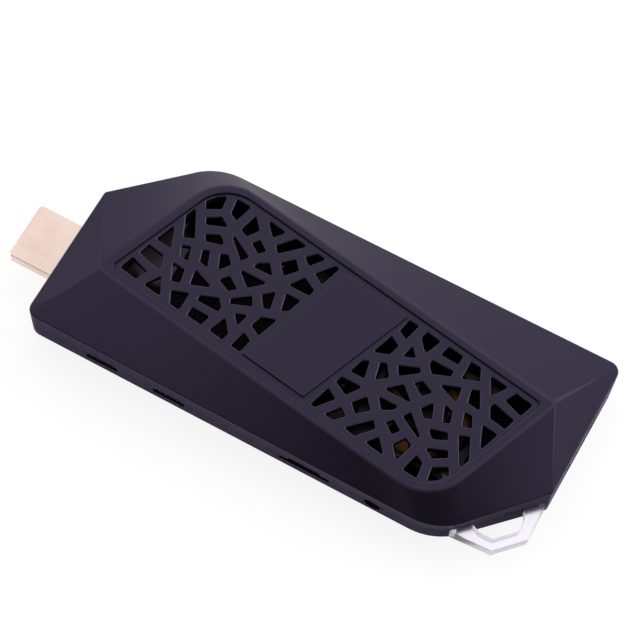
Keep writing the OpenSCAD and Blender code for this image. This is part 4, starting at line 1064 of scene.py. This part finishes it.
TABLE_HALF = 3
TABLE_DROP = 0.0001
table_mesh = bmesh.new()
bmesh.ops.create_grid(table_mesh, x_segments=2, y_segments=2, size=TABLE_HALF,
                      matrix=Matrix.Translation((0, 0, -TABLE_DROP)))
table = new_object("table", table_mesh)
white_table, root = new_finish("white_table")
to_camera, mirrored, through = (root.node("ShaderNodeLightPath", output=f"Is {ray} Ray")
                                for ray in ("Camera", "Glossy", "Transmission"))
seen = root.math("MAXIMUM", root.math("MAXIMUM", to_camera, mirrored), through)
matt = root.node("ShaderNodeBsdfDiffuse", {}, {"Color": tone(0.8, 0.8, 0.8)})
faint = root.node("ShaderNodeBsdfDiffuse", {}, {"Color": tone(0.22, 0.22, 0.22)})
glow = root.node("ShaderNodeEmission", {}, {
    "Color": mixed(root, through, tone(0.87, 0.87, 0.87), tone(1, 1, 1))})
lit = root.node("ShaderNodeAddShader", {}, {0: faint, 1: glow})
either = root.node("ShaderNodeMixShader", {}, {0: seen, 1: matt, 2: lit})
root.node("ShaderNodeOutputMaterial", {}, {"Surface": either})
table.data.materials.append(white_table)

MIDDLE_LIGHT = 0.5
LEAST_LIGHT = 0.05
BRIGHT_SIDE = (-0.25, 0.92, 0.3)
BRIGHT_GAIN = 0.86
DIM_GAIN = 1.3
world = bpy.data.worlds.new("studio")
bpy.context.scene.world = world
world.use_nodes = True
world.node_tree.nodes.clear()
sky = Signal(world.node_tree)
toward = sky.node("ShaderNodeTexCoord", output=3)


def lean(direction):
    return sky.node("ShaderNodeVectorMath", {"operation": "DOT_PRODUCT"}, {0: toward, 1: direction}, output=1)


front_right = sky.math("MAXIMUM", lean((1, 0, 0)) + 0.1, 0) * sky.math("MAXIMUM", 0.5 - lean((0, 1, 0)), 0)
level = MIDDLE_LIGHT + lean(BRIGHT_SIDE) * BRIGHT_GAIN - front_right * DIM_GAIN
level = sky.math("MAXIMUM", level, LEAST_LIGHT)
sky.node("ShaderNodeOutputWorld", {}, {
    "Surface": sky.node("ShaderNodeBackground", {}, {"Color": level, "Strength": 1})})

LAMPS = (
    ("left", (-1.6, 0.4, 0.5), 1.0, 1, (0.96, 0.97, 1.0)),
    ("right", (1.25, 1.1, 0.5), 1.0, 12, (1.0, 0.97, 0.99)))
for name, place, size, power, colour in LAMPS:
    lamp = bpy.data.lights.new(name, "AREA")
    lamp.shape = "SQUARE"
    lamp.size = size
    lamp.energy = power
    lamp.color = colour
    holder = bpy.data.objects.new(name, lamp)
    holder.location = place
    holder.rotation_euler = (-Vector(place)).to_track_quat("-Z", "Y").to_euler()
    bpy.context.scene.collection.objects.link(holder)

AZIMUTH = 21.11
ELEVATION = 64.11
ROLL = 8.11
SHIFT_RIGHT = -0.31
SHIFT_UP = 8.85
DISTANCE = 641.0
LENS = 165.78
az, el, roll = (math.radians(angle) for angle in (AZIMUTH, ELEVATION, ROLL))
back = Vector((math.sin(az) * math.cos(el), -math.cos(az) * math.cos(el), math.sin(el)))
level_right = Vector((math.cos(az), math.sin(az), 0))
level_up = back.cross(level_right)
right = math.cos(roll) * level_right + math.sin(roll) * level_up
up = -math.sin(roll) * level_right + math.cos(roll) * level_up
camera = bpy.data.objects.new("camera", bpy.data.cameras.new("camera"))
camera.data.sensor_width = 36
camera.data.lens = LENS
camera.data.clip_start = 0.01
camera.data.clip_end = 20
turn = Matrix((right, up, back)).transposed().to_4x4()
camera.matrix_world = Matrix.Translation((right * SHIFT_RIGHT + up * SHIFT_UP + back * DISTANCE) * MM) @ turn
bpy.context.scene.collection.objects.link(camera)
bpy.context.scene.camera = camera
bpy.context.scene.view_settings.view_transform = "Standard"

bpy.context.view_layer.update()
